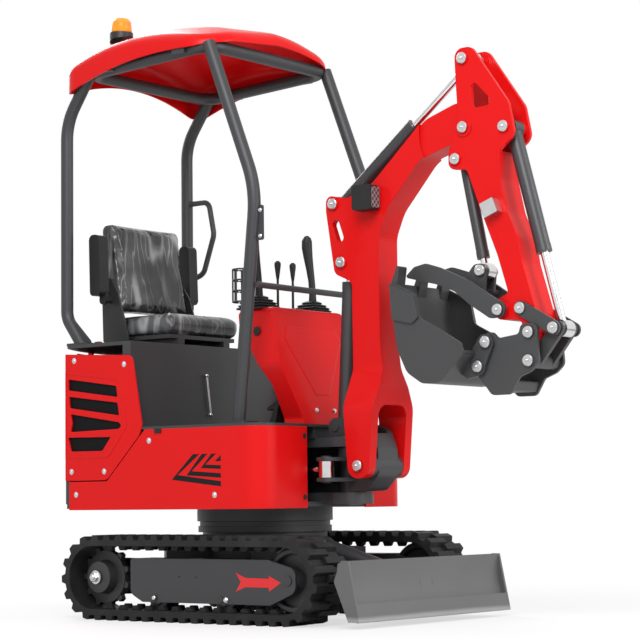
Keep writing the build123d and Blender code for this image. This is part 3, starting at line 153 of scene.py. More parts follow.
SKY_LIGHT = 0.5
sky = bpy.data.worlds.new("white_sky")
sky.use_nodes = True
bpy.context.scene.world = sky
sky_shader = sky.node_tree.nodes["Background"]
sky_shader.inputs["Color"].default_value = (1, 1, 1, 1)
rays = sky.node_tree.nodes.new("ShaderNodeLightPath")
seen = Shade(sky.node_tree, rays.outputs["Is Camera Ray"])
for ray in ("Is Glossy Ray", "Is Transmission Ray"):
    seen = seen.sum_with("MAXIMUM", seen, Shade(sky.node_tree, rays.outputs[ray]))
(seen * (1 - SKY_LIGHT) + SKY_LIGHT).feed(sky_shader, "Strength")


def soft_lamp(name, place, aim, size, power):
    """A square lamp at a place, turned to face its aim."""
    lamp = bpy.data.lights.new(name, "AREA")
    lamp.size = size
    lamp.energy = power
    hung = bpy.data.objects.new(name, lamp)
    back = np.array(place, float) - aim
    back /= np.linalg.norm(back)
    side = np.cross((0, 0, 1), back)
    side /= np.linalg.norm(side)
    stand = np.eye(4)
    stand[:3, :3] = np.stack((side, np.cross(back, side), back), axis=1)
    stand[:3, 3] = place
    hung.matrix_world = Matrix(stand.tolist())
    bpy.context.scene.collection.objects.link(hung)


soft_lamp("key_lamp", (2.6, -4.2, 4.6), (0.2, 0.0, 1.0), 3.0, 260)
soft_lamp("front_lamp", (5.0, 1.0, 2.4), (0.2, 0.0, 1.0), 2.4, 110)
soft_lamp("rear_lamp", (-3.6, 1.5, 4.0), (-0.2, 0.0, 1.0), 2.4, 120)


def new_finish(name, fixed):
    """A material with fixed values on its shader, that shader, and the place on the piece in metres."""
    finish = bpy.data.materials.new(name)
    finish.use_nodes = True
    tree = finish.node_tree
    shader = tree.nodes["Principled BSDF"]
    for socket, value in fixed.items():
        shader.inputs[socket].default_value = value
    spot = tree.nodes.new("ShaderNodeTexCoord")
    return finish, shader, Shade(tree, spot.outputs["Object"])


FLOOR_HALF = 40.0
GLOW_FROM, GLOW_TO, NEAR_GLOW = 1.0, 3.4, 0.64
floor_finish, floor_shader, floor_place = new_finish("pale_floor", {"Roughness": 0.8})
floor_place.noise(0.6).blend((0.80, 0.80, 0.80, 1), (0.84, 0.84, 0.84, 1)).feed(floor_shader, "Base Color")
floor_rays = floor_place.node("ShaderNodeLightPath", {}, {}, "Is Camera Ray")
floor_glow = floor_place.node("ShaderNodeEmission", {}, {"Color": (1, 1, 1, 1), "Strength": 1.0})
distance = floor_place.node("ShaderNodeVectorMath", {"operation": "LENGTH"}, {0: floor_place}, "Value")
away = distance.between(GLOW_FROM, GLOW_TO)
floor_mix = floor_place.node("ShaderNodeMixShader", {}, {
    0: floor_rays * (away * (1 - NEAR_GLOW) + NEAR_GLOW),
    1: Shade(floor_place.tree, floor_shader.outputs[0]), 2: floor_glow})
floor_mix.feed(floor_place.tree.nodes["Material Output"], "Surface")
floor_corners = np.array([(-1, -1, 0), (1, -1, 0), (1, 1, 0), (-1, 1, 0)]) * FLOOR_HALF
floor_mesh = bpy.data.meshes.new("studio_floor")
floor_mesh.from_pydata(floor_corners.tolist(), [], [(0, 1, 2, 3)])
floor_mesh.materials.append(floor_finish)
floor = bpy.data.objects.new("studio_floor", floor_mesh)
bpy.context.scene.collection.objects.link(floor)


# The track frame is a welded steel carrier with flat side plates, powder coated charcoal.
# Each side plate carries a red direction arrow, two rivets and two zinc roller bolts.
def coat_finish(name, colour, rough, grain=700.0, grain_depth=0.00012, coat=0.0, drift=0.10, edge=0.0015,
                shine=0.5, relief=None):
    """Paint on steel: the colour drifts a little, the coat has a fine grain, edges are slightly rounded,
    and a relief, a function of the place that gives a height from 0 to 1, stands 2 mm proud."""
    finish, shader, place = new_finish(name, {
        "Coat Weight": coat, "Coat Roughness": 0.08, "Specular IOR Level": shine})
    cloud = place.noise(2.3, 4.0)
    fine = place.noise(grain, 2.0)
    low = tuple(c * (1 - drift) for c in colour) + (1.0,)
    high = tuple(min(1.0, c * (1 + drift)) for c in colour) + (1.0,)
    cloud.blend(low, high).feed(shader, "Base Color")
    (cloud * 0.10 + fine * 0.06 + (rough - 0.08)).feed(shader, "Roughness")
    facing = place.bevel(edge)
    if relief:
        facing = relief(place).bump(0.002, facing=facing)
    fine.bump(grain_depth, 0.6, facing).feed(shader, "Normal")
    return finish


def finish_nodes(finish, *names):
    """Gives CAD nodes a finish."""
    for name in names:
        for place in nodes[name].material_slots:
            place.material = finish


charcoal = coat_finish("charcoal_powder_coat", (0.030, 0.031, 0.034), 0.46, grain=900.0, grain_depth=0.0002)
finish_nodes(charcoal, "track_frame")


def unit(v):
    """Vectors of length one."""
    v = np.asarray(v, float)
    return v / np.linalg.norm(v, axis=-1, keepdims=True)


def ring_quads(rings, sides):
    """Four-sided faces between each ring of points and the next one, closed round."""
    i = np.arange(rings - 1)[:, None] * sides
    j = np.arange(sides)[None]
    k = (j + 1) % sides
    return np.stack((i + j, i + k, i + sides + k, i + sides + j), axis=-1).reshape(-1, 4)


def lathe(profile, sides):
    """A profile of (radius, height) points swept through a full turn about +Z.
    Its two ends close on poles at radius 0."""
    r, h = np.array(profile, float).T
    turn = np.linspace(0, 2 * np.pi, sides, endpoint=False)
    rings = np.stack((r[:, None] * np.cos(turn), r[:, None] * np.sin(turn),
                      np.repeat(h[:, None], sides, 1)), axis=-1)
    points = np.concatenate((rings.reshape(-1, 3), [[0, 0, h[0]], [0, 0, h[-1]]]))
    low_pole, high_pole = len(r) * sides, len(r) * sides + 1
    last = (len(r) - 1) * sides
    j = np.arange(sides)
    k = (j + 1) % sides
    low_cap = np.stack((np.full(sides, low_pole), k, j), axis=-1)
    high_cap = np.stack((np.full(sides, high_pole), last + j, last + k), axis=-1)
    return points, [ring_quads(len(r), sides), low_cap, high_cap]


def joined(*shapes):
    """Several shapes as one."""
    points, faces, start = [], [], 0
    for p, f in shapes:
        points.append(p)
        faces += [g + start for g in f]
        start += len(p)
    return np.concatenate(points), faces


def repeated(shape, spots, axes):
    """A shape repeated at each spot, its +Z turned to that spot's axis."""
    points, faces = shape
    spots = np.atleast_2d(np.array(spots, float))
    z = np.broadcast_to(unit(axes), spots.shape)
    guide = np.where(np.abs(z[:, 2:]) < 0.9, np.array((0.0, 0.0, 1.0)), np.array((1.0, 0.0, 0.0)))
    x = unit(np.cross(guide, z))
    y = np.cross(z, x)
    placed = (points[None, :, 0:1] * x[:, None] + points[None, :, 1:2] * y[:, None]
              + points[None, :, 2:3] * z[:, None] + spots[:, None])
    step = np.arange(len(spots))[:, None, None] * len(points)
    return placed.reshape(-1, 3), [(f[None] + step).reshape(-1, f.shape[1]) for f in faces]


def plate(outline, origin, right, up, thick):
    """A flat outline of (right, up) points standing on a face at origin, with straight edges."""
    flat = np.array(outline, float)
    right, up = unit(right), unit(up)
    out = np.cross(right, up) * thick
    foot = np.array(origin, float) + flat[:, :1] * right + flat[:, 1:] * up
    n = len(flat)
    j = np.arange(n)
    k = (j + 1) % n
    sides = np.stack((j, k, k + n, j + n), axis=-1)
    return np.concatenate((foot, foot + out)), [sides, j[None, ::-1], (j + n)[None]]


def side_plates(outline, y, thick):
    """A plate of (x, z) points on the right side's face at -y, and its mirror image on the left at +y."""
    outline = np.array(outline, float)
    return joined(plate(outline, (0, -y, 0), (1, 0, 0), (0, 0, 1), thick),
                  plate(outline[::-1] * (-1, 1), (0, y, 0), (-1, 0, 0), (0, 0, 1), thick))


def add_piece(name, shape, finish, body, crease=35.0):
    """Puts a shape's points and faces into a mesh that rides on a body."""
    points, faces = shape
    mesh = bpy.data.meshes.new(name)
    mesh.from_pydata(points.tolist(), [], [face for group in faces for face in group.tolist()])
    mesh.materials.append(finish)
    mesh.polygons.foreach_set("use_smooth", np.ones(len(mesh.polygons), bool))
    mesh.set_sharp_from_angle(angle=np.radians(crease))
    piece = bpy.data.objects.new(name, mesh)
    bpy.context.scene.collection.objects.link(piece)
    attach(piece, body)
    return piece


def add_pairs(name, shape, spots, y, finish, body):
    """Repeats a shape at (x, z) spots on the faces at -y and +y, with its +Z turned outwards."""
    flat = np.array(spots, float)
    place = np.stack((flat[:, 0], np.full(len(flat), -y), flat[:, 1]), axis=-1)
    out = np.tile((0.0, -1.0, 0.0), (len(flat), 1))
    pairs = repeated(shape, np.concatenate((place, place * (1, -1, 1))), np.concatenate((out, -out)))
    add_piece(name, pairs, finish, body)


def hex_bolt(size):
    """A washer, a six-sided head with a chamfered top, and its dished middle, for a thread of that size."""
    washer = np.array([(1.15, 0.0), (1.2, 0.06), (1.2, 0.2), (1.12, 0.26)])
    head = np.array([(1.0, 0.2), (1.0, 0.78), (0.84, 0.92), (0.3, 0.88)])
    return joined(lathe(washer * size, 24), lathe(head * size, 6))


def metal_finish(name, colour, rough, scratch):
    """Bare or plated metal with faint clouding and fine scratches."""
    finish, shader, place = new_finish(name, {"Metallic": 1.0})
    cloud = place.noise(38.0, 4.0)
    fine = place.noise(scratch, 4.0, 0.7)
    dark = tuple(c * 0.82 for c in colour) + (1.0,)
    cloud.blend(dark, tuple(colour) + (1.0,)).feed(shader, "Base Color")
    (cloud * 0.12 + fine * 0.08 + (rough - 0.1)).feed(shader, "Roughness")
    fine.bump(0.0001, 0.4).feed(shader, "Normal")
    return finish


PLATE_Y = 0.430
FILM = 0.0004
zinc = metal_finish("zinc_plate", (0.66, 0.66, 0.67), 0.30, 900.0)
arrow_red = coat_finish("arrow_film", (0.70, 0.012, 0.014), 0.34, grain=1200.0, grain_depth=0.00004,
                        drift=0.05)
arrow = np.array([(221, 182), (244, 150), (221, 115), (264, 132), (373, 132), (373, 118), (427, 150),
                  (373, 173), (373, 163), (264, 165)]) / 1000.0
add_piece("direction_arrows", side_plates(arrow[::-1], PLATE_Y, FILM), arrow_red,
          "undercarriage")
add_pairs("roller_bolts", hex_bolt(0.0085), [(-0.171, 0.086), (0.175, 0.085)], PLATE_Y, zinc,
          "undercarriage")
rivet = lathe([(0.0001, 0.0), (0.006, 0.0), (0.006, 0.001), (0.0045, 0.003), (0.002, 0.004)], 16)
add_pairs("plate_rivets", rivet, [(-0.052, 0.168), (0.031, 0.167)], PLATE_Y, charcoal,
          "undercarriage")


# The tracks are endless belts of black rubber, moulded with outside lugs and inside guide teeth.
# The teeth run each side of the rollers and keep the belt on its wheels.
def rubber_finish(name, colour, grain):
    """Moulded rubber: dull black, dusted a little paler in patches, with a fine rough skin."""
    finish, shader, place = new_finish(name, {"Specular IOR Level": 0.25})
    dust = place.noise(9.0, 5.0, 0.6).between(0.42, 0.75)
    skin = place.noise(grain, 3.0, 0.6)
    dusted = tuple(c * 1.7 + 0.006 for c in colour) + (1.0,)
    dust.blend(tuple(colour) + (1.0,), dusted).feed(shader, "Base Color")
    (dust * 0.16 + skin * 0.08 + 0.56).feed(shader, "Roughness")
    skin.bump(0.0004, 0.7, place.bevel(0.003)).feed(shader, "Normal")
    return finish


track_rubber = rubber_finish("track_rubber", (0.012, 0.012, 0.013), 420.0)
finish_nodes(track_rubber, "left_track", "right_track")
TOOTH_PITCH, TOOTH_COUNT, TOOTH_WIDE = 0.066, 13, 0.018
TOOTH_ROWS = (-0.427, -0.332, 0.332, 0.427)
LOWER_RUN, UPPER_RUN = 0.0405, 0.2735
tooth_points, tooth_faces = plate([(-0.019, 0.0), (0.019, 0.0), (0.011, 0.016), (-0.011, 0.016)],
                                  (0, 0, 0), (1, 0, 0), (0, 0, 1), TOOTH_WIDE)
tooth_x = (np.arange(TOOTH_COUNT) - TOOTH_COUNT // 2) * TOOTH_PITCH
tooth_step = np.arange(TOOTH_COUNT)[:, None, None] * len(tooth_points)
tooth_rows = []
for row_y in TOOTH_ROWS:
    for row_z, flip in ((LOWER_RUN, 1), (UPPER_RUN, -1)):
        spots = np.stack((tooth_x, np.full(TOOTH_COUNT, row_y + TOOTH_WIDE / 2),
                          np.full(TOOTH_COUNT, row_z)), axis=-1)
        row = tooth_points[None] * (1, 1, flip) + spots[:, None]
        row_faces = [(f[None, :, ::flip] + tooth_step).reshape(-1, f.shape[1]) for f in tooth_faces]
        tooth_rows.append((row.reshape(-1, 3), row_faces))
add_piece("track_guide_teeth", joined(*tooth_rows), track_rubber, "undercarriage")


# The sprockets, idlers, rollers and slew ring are cast or turned steel with a thin black coat.
# The sprocket hub ends in a zinc nut on a washer, with the end of its axle standing out.
cast_steel = coat_finish("black_cast_steel", (0.028, 0.028, 0.030), 0.48, grain=260.0, grain_depth=0.0005)
finish_nodes(cast_steel, "sprockets", "idlers", "track_rollers", "slew_ring")
HUB, HUB_Y = (-0.458, 0.157), 0.441
hub_nut = joined(lathe([(0.025, 0.0), (0.0255, 0.003), (0.0235, 0.004)], 28),
                 lathe([(0.019, 0.003), (0.019, 0.016), (0.016, 0.019)], 6),
                 lathe([(0.0105, 0.015), (0.0105, 0.023), (0.009, 0.0245)], 20))
add_pairs("hub_nuts", hub_nut, [HUB], HUB_Y, zinc, "undercarriage")


# The dozer blade is a curved steel plate on two arms, painted grey, with a bare worn cutting edge.
# Earth has polished the lower strip, so the paint gives way to steel there.
WORN_FROM, WORN_TO = 0.052, 0.036
blade_finish, blade_shader, blade_place = new_finish("blade_grey", {})
blade_cloud = blade_place.noise(3.0, 5.0)
blade_fine = blade_place.mapped((1.0, 0.05, 1.0)).noise(420.0, 3.0, 0.6)
worn = (blade_place.part("Z") + blade_cloud * 0.012).between(WORN_FROM, WORN_TO)
painted = blade_cloud.blend((0.088, 0.088, 0.090, 1), (0.118, 0.118, 0.121, 1))
worn.blend(painted, (0.30, 0.30, 0.31, 1)).feed(blade_shader, "Base Color")
(worn * 0.6).feed(blade_shader, "Metallic")
(blade_cloud * 0.14 + blade_fine * 0.08 + 0.30).feed(blade_shader, "Roughness")
blade_fine.bump(0.0003, 0.5, blade_place.bevel(0.002)).feed(blade_shader, "Normal")
finish_nodes(blade_finish, "dozer_blade")


# The slewing deck, floor and counterweight are heavy steel, powder coated charcoal like the track frame.
# A ribbed rubber mat lies on the floor.
finish_nodes(charcoal, "deck_frame", "floor_plate", "counterweight", "seat_base", "swing_post")
mat_finish, mat_shader, mat_place = new_finish("ribbed_mat_rubber", {})
mat_cloud = mat_place.noise(12.0, 4.0)
mat_cloud.blend((0.013, 0.013, 0.014, 1), (0.024, 0.024, 0.025, 1)).feed(mat_shader, "Base Color")
(mat_cloud * 0.15 + 0.58).feed(mat_shader, "Roughness")
rib = mat_place.node("ShaderNodeTexWave", {"bands_direction": "Y"}, {"Vector": mat_place, "Scale": 26.0})
rib.bump(0.0012, 0.8).feed(mat_shader, "Normal")
finish_nodes(mat_finish, "floor_mat")


# The side covers and the rear bonnet are pressed panels in gloss red.
# Zinc screws with washers hold the covers, and bent stripes of black film mark the sides.
RED_COAT = {"colour": (0.66, 0.0045, 0.005), "rough": 0.34, "grain": 520.0, "grain_depth": 0.00006,
            "coat": 0.06, "drift": 0.05, "edge": 0.003, "shine": 0.16}
COVER_Y = 0.440
COVER_SCREWS = [(-0.186, 0.660), (-0.562, 0.465), (0.133, 0.458), (-0.572, 0.973), (-0.311, 0.948),
                (-0.586, 0.552), (-0.415, 0.551)]
red_gloss = coat_finish("gloss_red", **RED_COAT)
finish_nodes(red_gloss, "right_side_cover", "left_side_cover", "rear_bonnet")
cover_screw = joined(lathe([(0.0105, 0.0), (0.011, 0.0012), (0.0095, 0.0022)], 24),
                     lathe([(0.0072, 0.002), (0.0072, 0.0045), (0.0050, 0.0062), (0.0026, 0.0058)], 20))
add_pairs("cover_screws", cover_screw, COVER_SCREWS, COVER_Y, zinc, "upper_body")
stripe_black = coat_finish("stripe_film", (0.008, 0.008, 0.009), 0.36, grain=1200.0, grain_depth=0.00004,
                           drift=0.1, shine=0.15)


def stripe(corner, top, end, width):
    """A bent stripe: down a slanted leg from its top to its corner, then along a lower leg to its end."""
    leg = np.array((width * 1.05, 0.0))
    inner = np.array(corner) + (width * 0.95, width * 0.55)
    return np.array([corner, end, np.array(end) + (0.0, width * 0.62), inner, np.array(top) + leg, top])


stripes = [stripe((-0.073, 0.515), (0.030, 0.606), (0.163, 0.488), 0.030),
           stripe((-0.001, 0.530), (0.073, 0.606), (0.163, 0.519), 0.026),
           stripe((0.068, 0.555), (0.119, 0.606), (0.163, 0.550), 0.022),
           np.array([(0.134, 0.578), (0.163, 0.578), (0.163, 0.600)])]
add_piece("cover_stripes", joined(*[side_plates(s, COVER_Y, FILM) for s in stripes]), stripe_black,
          "upper_body")


# Each vent cover is a moulded panel with four slots, wrapped round the tail corner as far as the bonnet.
# A low bead frames the slots, and a black wire screen stands just behind them.
TAIL_R, CORNER_END_Y, WRAP_STEPS = 0.760, 0.305, 12
VENT_WALL, VENT_LOW, VENT_HIGH = 0.007, 0.644, 1.000
BEAD, SCREEN_GAP = 0.002, 0.001


def rounded(corners, steps=6):
    """A closed outline of (right, up, radius) corners in mm, given back in metres.
    Each corner becomes a short curve that leaves both edges smoothly."""
    spot = np.array([c[:2] for c in corners], float) / 1000.0
    reach = np.array([c[2] for c in corners], float)[:, None] / 1000.0
    back = (spot + unit(np.roll(spot, 1, 0) - spot) * reach)[:, None]
    ahead = (spot + unit(np.roll(spot, -1, 0) - spot) * reach)[:, None]
    t = np.linspace(0, 1, steps)[None, :, None]
    return ((1 - t) ** 2 * back + 2 * t * (1 - t) * spot[:, None] + t ** 2 * ahead).reshape(-1, 2)


def coordinates(mesh):
    """All points of a mesh, as rows of (x, y, z)."""
    points = np.empty(len(mesh.vertices) * 3)
    mesh.vertices.foreach_get("co", points)
    return points.reshape(-1, 3)


def pierced_sheet(edge, holes, thick):
    """A flat sheet with holes, as points (right, up, depth) and faces.
    It is a filled outline, pushed out to its thickness."""
    sheet = bpy.data.curves.new("sheet", "CURVE")
    sheet.dimensions = "2D"
    sheet.fill_mode = "BOTH"
    sheet.extrude = thick / 2
    for line in [edge, *holes]:
        run = sheet.splines.new("POLY")
        run.points.add(len(line) - 1)
        run.points.foreach_set("co", np.column_stack((line, np.zeros(len(line)), np.ones(len(line)))).ravel())
        run.use_cyclic_u = True
    holder = bpy.data.objects.new("sheet", sheet)
    mesh = bpy.data.meshes.new_from_object(holder)
    counts = np.empty(len(mesh.polygons), int)
    mesh.polygons.foreach_get("loop_total", counts)
    flat = np.empty(counts.sum(), int)
    mesh.polygons.foreach_get("vertices", flat)
    faces = [flat[np.repeat(counts, counts) == n].reshape(-1, n) for n in np.unique(counts)]
    bpy.data.objects.remove(holder)
    return coordinates(mesh), faces


def upright(points, side, y):
    """A sheet's (right, up, depth) points set upright on a side, -1 or +1, with depth inwards from y."""
    return np.stack((points[:, 0], side * (y - points[:, 2]), points[:, 1]), axis=-1)


vent_edge = rounded([(-620, 1000, 3), (-272, 980, 22), (-222, 717, 8), (-236, 681, 12), (-403, 518, 14),
                     (-620, 518, 3)])
vent_slots = [rounded([(-604, 904, 6), (-352, 869, 6), (-346, 827, 6), (-604, 862, 6)]),
              rounded([(-602, 838, 6), (-346, 806, 6), (-337, 758, 6), (-596, 794, 6)]),
              rounded([(-592, 771, 6), (-339, 733, 8), (-326, 720, 8), (-339, 708, 8), (-592, 703, 6),
                       (-584, 735, 6)]),
              rounded([(-606, 682, 6), (-381, 679, 6), (-425, 628, 6), (-590, 629, 6)])]
sheet_points, sheet_faces = pierced_sheet(vent_edge, vent_slots, VENT_WALL)
bead_edge = rounded([(-619, 934, 4), (-333, 898, 14), (-296, 716, 14), (-393, 602, 14), (-619, 602, 4)])
bead_hole = rounded([(-612, 924, 4), (-342, 889, 12), (-306, 717, 12), (-398, 612, 12), (-612, 612, 4)])
bead_points, bead_faces = pierced_sheet(bead_edge, [bead_hole], BEAD)
turn = np.linspace(np.arcsin(COVER_Y / TAIL_R), np.arcsin(CORNER_END_Y / TAIL_R), WRAP_STEPS + 1)[:, None]
wall_r = np.array((TAIL_R, TAIL_R, TAIL_R - VENT_WALL, TAIL_R - VENT_WALL))
wall_z = np.broadcast_to((VENT_LOW, VENT_HIGH, VENT_HIGH, VENT_LOW), (WRAP_STEPS + 1, 4))
wrap_points = np.stack((-wall_r * np.cos(turn), -wall_r * np.sin(turn), wall_z), axis=-1).reshape(-1, 3)
wrap_ends = np.array([(3, 2, 1, 0), np.arange(4) + WRAP_STEPS * 4])
wrap_faces = [ring_quads(WRAP_STEPS + 1, 4), wrap_ends]
screen_points = np.array([(-0.610, 0.915, 0), (-0.335, 0.880, 0), (-0.312, 0.720, 0), (-0.410, 0.618, 0),
                          (-0.600, 0.618, 0)])
screen_black = coat_finish("wire_screen", (0.005, 0.005, 0.006), 0.6, grain=900.0, grain_depth=0.0012,
                           shine=0.1)
for side, hand in ((-1, "right"), (1, "left")):
    flat_part = (upright(sheet_points, side, COVER_Y - VENT_WALL / 2), [f[:, ::-side] for f in sheet_faces])
    bead = (upright(bead_points, side, COVER_Y + BEAD / 4), [f[:, ::-side] for f in bead_faces])
    wrap = (wrap_points * (1, -side, 1), [f[:, ::side] for f in wrap_faces])
    cover = add_piece(hand + "_vent_moulding", joined(flat_part, bead, wrap), red_gloss, "upper_body")
    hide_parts(hand + "_vent_cover")
    screen = upright(screen_points, side, COVER_Y - VENT_WALL - SCREEN_GAP)
    add_piece(hand + "_vent_screen", (screen, [np.arange(len(screen))[None, ::side]]), screen_black,
              "upper_body")


# The engine is an iron casting, bolted to the deck under the seat base.
# It is left rough from the mould and is seen only through the vents.
engine_iron = coat_finish("engine_iron", (0.055, 0.055, 0.058), 0.6, grain=180.0, grain_depth=0.0008)
finish_nodes(engine_iron, "engine")


# The seat is black vinyl over foam, still in its crumpled clear film, on black steel rails; the film's broad
# sheen and the highlights along its wrinkles are painted into its colour.
# Cushion and back are stuffed pads; two padded armrests fold up beside the back.
film_finish, film_shader, film_place = new_finish("vinyl_under_film", {
    "Coat Weight": 0.5, "Coat Roughness": 0.12, "Specular IOR Level": 0.3})
drawn = film_place.mapped((1.0, 1.0, 0.22), (0.5, 0.3, 0.2))
# Painted sheen: broad patches of the film's colour are painted lighter grey, where light would shine on it.
painted_sheen = film_place.noise(5.0, 3.0).between(0.40, 0.72)
folds = drawn.noise(8.0, 1.5, 0.4)
creases = drawn.noise(21.0, 1.0, 0.4)
# Painted highlights: thin pale lines along the wrinkles, painted into the colour where light would glint on
# them.
painted_streaks = abs(folds - 0.5).between(0.055, 0.0)
painted_wisps = abs(creases - 0.5).between(0.040, 0.0)
pale = painted_streaks.sum_with("MAXIMUM", painted_streaks, painted_wisps * 0.6)
# The film's colour is dark vinyl with the painted sheen in it, and the painted highlights are laid over it,
# brighter within the sheen.
film = painted_sheen.blend((0.006, 0.006, 0.007, 1), (0.075, 0.077, 0.080, 1))
(pale * (painted_sheen * 0.42 + 0.14)).blend(film, (0.62, 0.63, 0.65, 1)).feed(film_shader, "Base Color")
(0.24 + painted_sheen * 0.14 - pale * 0.08).feed(film_shader, "Roughness")
(folds + creases * 0.5).bump(0.014, 0.9).feed(film_shader, "Normal")

vinyl_finish, vinyl_shader, vinyl_place = new_finish("black_vinyl", {"Specular IOR Level": 0.25})
grain = vinyl_place.node("ShaderNodeTexVoronoi", {"feature": "F1"}, {"Vector": vinyl_place, "Scale": 520.0})
vinyl_cloud = vinyl_place.noise(14.0, 4.0)
vinyl_cloud.blend((0.011, 0.011, 0.012, 1), (0.022, 0.022, 0.023, 1)).feed(vinyl_shader, "Base Color")
(vinyl_cloud * 0.14 + 0.36).feed(vinyl_shader, "Roughness")
grain.bump(0.0004, 0.5).feed(vinyl_shader, "Normal")
finish_nodes(vinyl_finish, "armrests")
PAD_FILL, PAD_SWELL, PAD_DRAWN_IN = 0.7, 0.009, 0.004
PAD_VOXEL, PAD_SOFTENED = 0.006, 24
PAD_PRESSURE, PAD_STEPS = 4.0, 20


def stuffed_pad(name, node):
    """A pad from its CAD solid: drawn in a little, remeshed, blown up as cloth, and held within its swell."""
    shape = nodes[node].data.copy()
    pad = bpy.data.objects.new(name, shape)
    bpy.context.scene.collection.objects.link(pad)
    points = coordinates(shape)
    middle = (points.min(0) + points.max(0)) / 2
    half = (points.max(0) - points.min(0)) / 2
    points = middle + (points - middle) * (1 - PAD_DRAWN_IN / half)
    shape.vertices.foreach_set("co", points.ravel())
    shape.materials.clear()
    shape.materials.append(film_finish)
    bpy.context.view_layer.objects.active = pad
    pad.select_set(True)
    weld = pad.modifiers.new("weld", "WELD")
    weld.merge_threshold = 0.0001
    remesh = pad.modifiers.new("remesh", "REMESH")
    remesh.mode = "VOXEL"
    remesh.voxel_size = PAD_VOXEL
    soften = pad.modifiers.new("soften", "SMOOTH")
    soften.factor = 0.5
    soften.iterations = PAD_SOFTENED
    for modifier in ("weld", "remesh", "soften"):
        bpy.ops.object.modifier_apply(modifier=modifier)
    start = coordinates(pad.data)
    cloth = pad.modifiers.new("cloth", "CLOTH")
    cloth.settings.use_pressure = True
    cloth.settings.uniform_pressure_force = PAD_PRESSURE
    cloth.settings.effector_weights.gravity = 0.0
    cloth.point_cache.frame_end = PAD_STEPS
    for step in range(1, PAD_STEPS + 1):
        bpy.context.scene.frame_set(step)
    bpy.ops.object.modifier_apply(modifier="cloth")
    bpy.context.scene.frame_set(1)
    moved = coordinates(pad.data) - start
    far = np.linalg.norm(moved, axis=1, keepdims=True)
    moved *= np.minimum(1.0, PAD_SWELL / np.maximum(far, 1e-9))
    pad.data.vertices.foreach_set("co", (start + moved).ravel())
    pad.data.polygons.foreach_set("use_smooth", np.ones(len(pad.data.polygons), bool))
    smooth = pad.modifiers.new("smooth", "SUBSURF")
    smooth.levels = smooth.render_levels = 1
    pad.select_set(False)
    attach(pad, "upper_body")
    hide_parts(node)


stuffed_pad("seat_cushion_pad", "seat_cushion")
stuffed_pad("seat_back_pad", "seat_back")
black_steel = coat_finish("black_steel", (0.016, 0.016, 0.017), 0.42, grain=800.0)
finish_nodes(black_steel, "seat_rails")


# The console is a red moulding over a steel stand, with two joysticks on bellows and two short levers.
# Pedals and levers are black moulded plastic, and a charcoal cross bar joins the front posts before it.
# A wire cup cage, plugs, bolts and clips are pushed or screwed on, and a stay props the seat base.
PANEL_EDGES = [((0.0, 1.0), 1.076), ((0.0, -1.0), -0.823), ((1.0, -0.62), -0.470), ((-1.0, -0.62), -0.470),
               ((1.0, 0.55), 0.736), ((-1.0, 0.55), 0.736)]
PANEL_SLOPE = 0.004


def console_panel(place):
    """A raised six-sided panel on the console's front.
    The largest of the distances past its edges tells inside from outside."""
    y, z = place.part("Y"), place.part("Z")
    past = [(y * way_y + z * way_z - limit) / np.hypot(way_y, way_z) for (way_y, way_z), limit in PANEL_EDGES]
    outside = past[0]
    for edge in past[1:]:
        outside = outside.sum_with("MAXIMUM", outside, edge)
    return outside.between(PANEL_SLOPE, -PANEL_SLOPE)


finish_nodes(coat_finish("console_red", relief=console_panel, **RED_COAT), "console")
plastic_finish, plastic_shader, plastic_place = new_finish("black_plastic", {"Specular IOR Level": 0.25})
spark = plastic_place.noise(1100.0, 2.0)
plastic_cloud = plastic_place.noise(20.0, 3.0)
plastic_cloud.blend((0.013, 0.013, 0.014, 1), (0.021, 0.021, 0.022, 1)).feed(plastic_shader, "Base Color")
(spark * 0.12 + 0.40).feed(plastic_shader, "Roughness")
spark.bump(0.0002, 0.5, plastic_place.bevel(0.001)).feed(plastic_shader, "Normal")
finish_nodes(plastic_finish, "pedals", "boom_light")


def tube(path, radii, sides):
    """Circles of the given radii along a path, each square to the way the path runs there."""
    path = np.array(path, float)
    way = unit(np.gradient(path, axis=0))
    guide = np.where(np.abs(way[:, 1:2]) < 0.9, np.array((0.0, 1.0, 0.0)), np.array((1.0, 0.0, 0.0)))
    right = unit(np.cross(guide, way))
    over = np.cross(way, right)
    turn = np.linspace(0, 2 * np.pi, sides, endpoint=False)[:, None]
    radii = np.broadcast_to(radii, len(path))[:, None, None]
    rings = path[:, None] + radii * (np.cos(turn) * right[:, None] + np.sin(turn) * over[:, None])
    ends = np.arange(sides)[None]
    return rings.reshape(-1, 3), [ring_quads(len(path), sides), ends[:, ::-1], ends + (len(path) - 1) * sides]


LEVER_X, LEVER_Y, SHORT_LEVER_Y, CONSOLE_TOP = 0.110, 0.160, 0.045, 1.142
GRIP_RINGS, BOOT_SUNK = 33, 0.001
grip_path = np.array([(0.004, 0.040), (0.004, 0.080), (0.000, 0.130), (-0.008, 0.180), (-0.016, 0.225),
                      (-0.021, 0.262), (-0.021, 0.288), (-0.018, 0.303), (-0.016, 0.308)])
grip_radii = np.array((0.016, 0.0135, 0.0130, 0.0150, 0.0180, 0.0205, 0.0200, 0.0130, 0.0030))
knots = np.arange(len(grip_radii))
along = np.linspace(0, knots[-1], GRIP_RINGS)
grip_x, grip_z, grip_r = (np.interp(along, knots, v) for v in (*grip_path.T, grip_radii))
pleats = [(0.058, 0.0), (0.058, 0.007), (0.050, 0.010), (0.055, 0.015), (0.046, 0.021), (0.050, 0.026),
          (0.038, 0.032), (0.041, 0.037), (0.026, 0.043), (0.028, 0.048), (0.016, 0.054)]
boot_points, boot_faces = lathe(np.array(pleats) * (np.sqrt(2), 1), 4)
boot_turn = np.array([(1, -1, 0), (1, 1, 0), (0, 0, np.sqrt(2))]) / np.sqrt(2)
boot_points = boot_points @ boot_turn.T
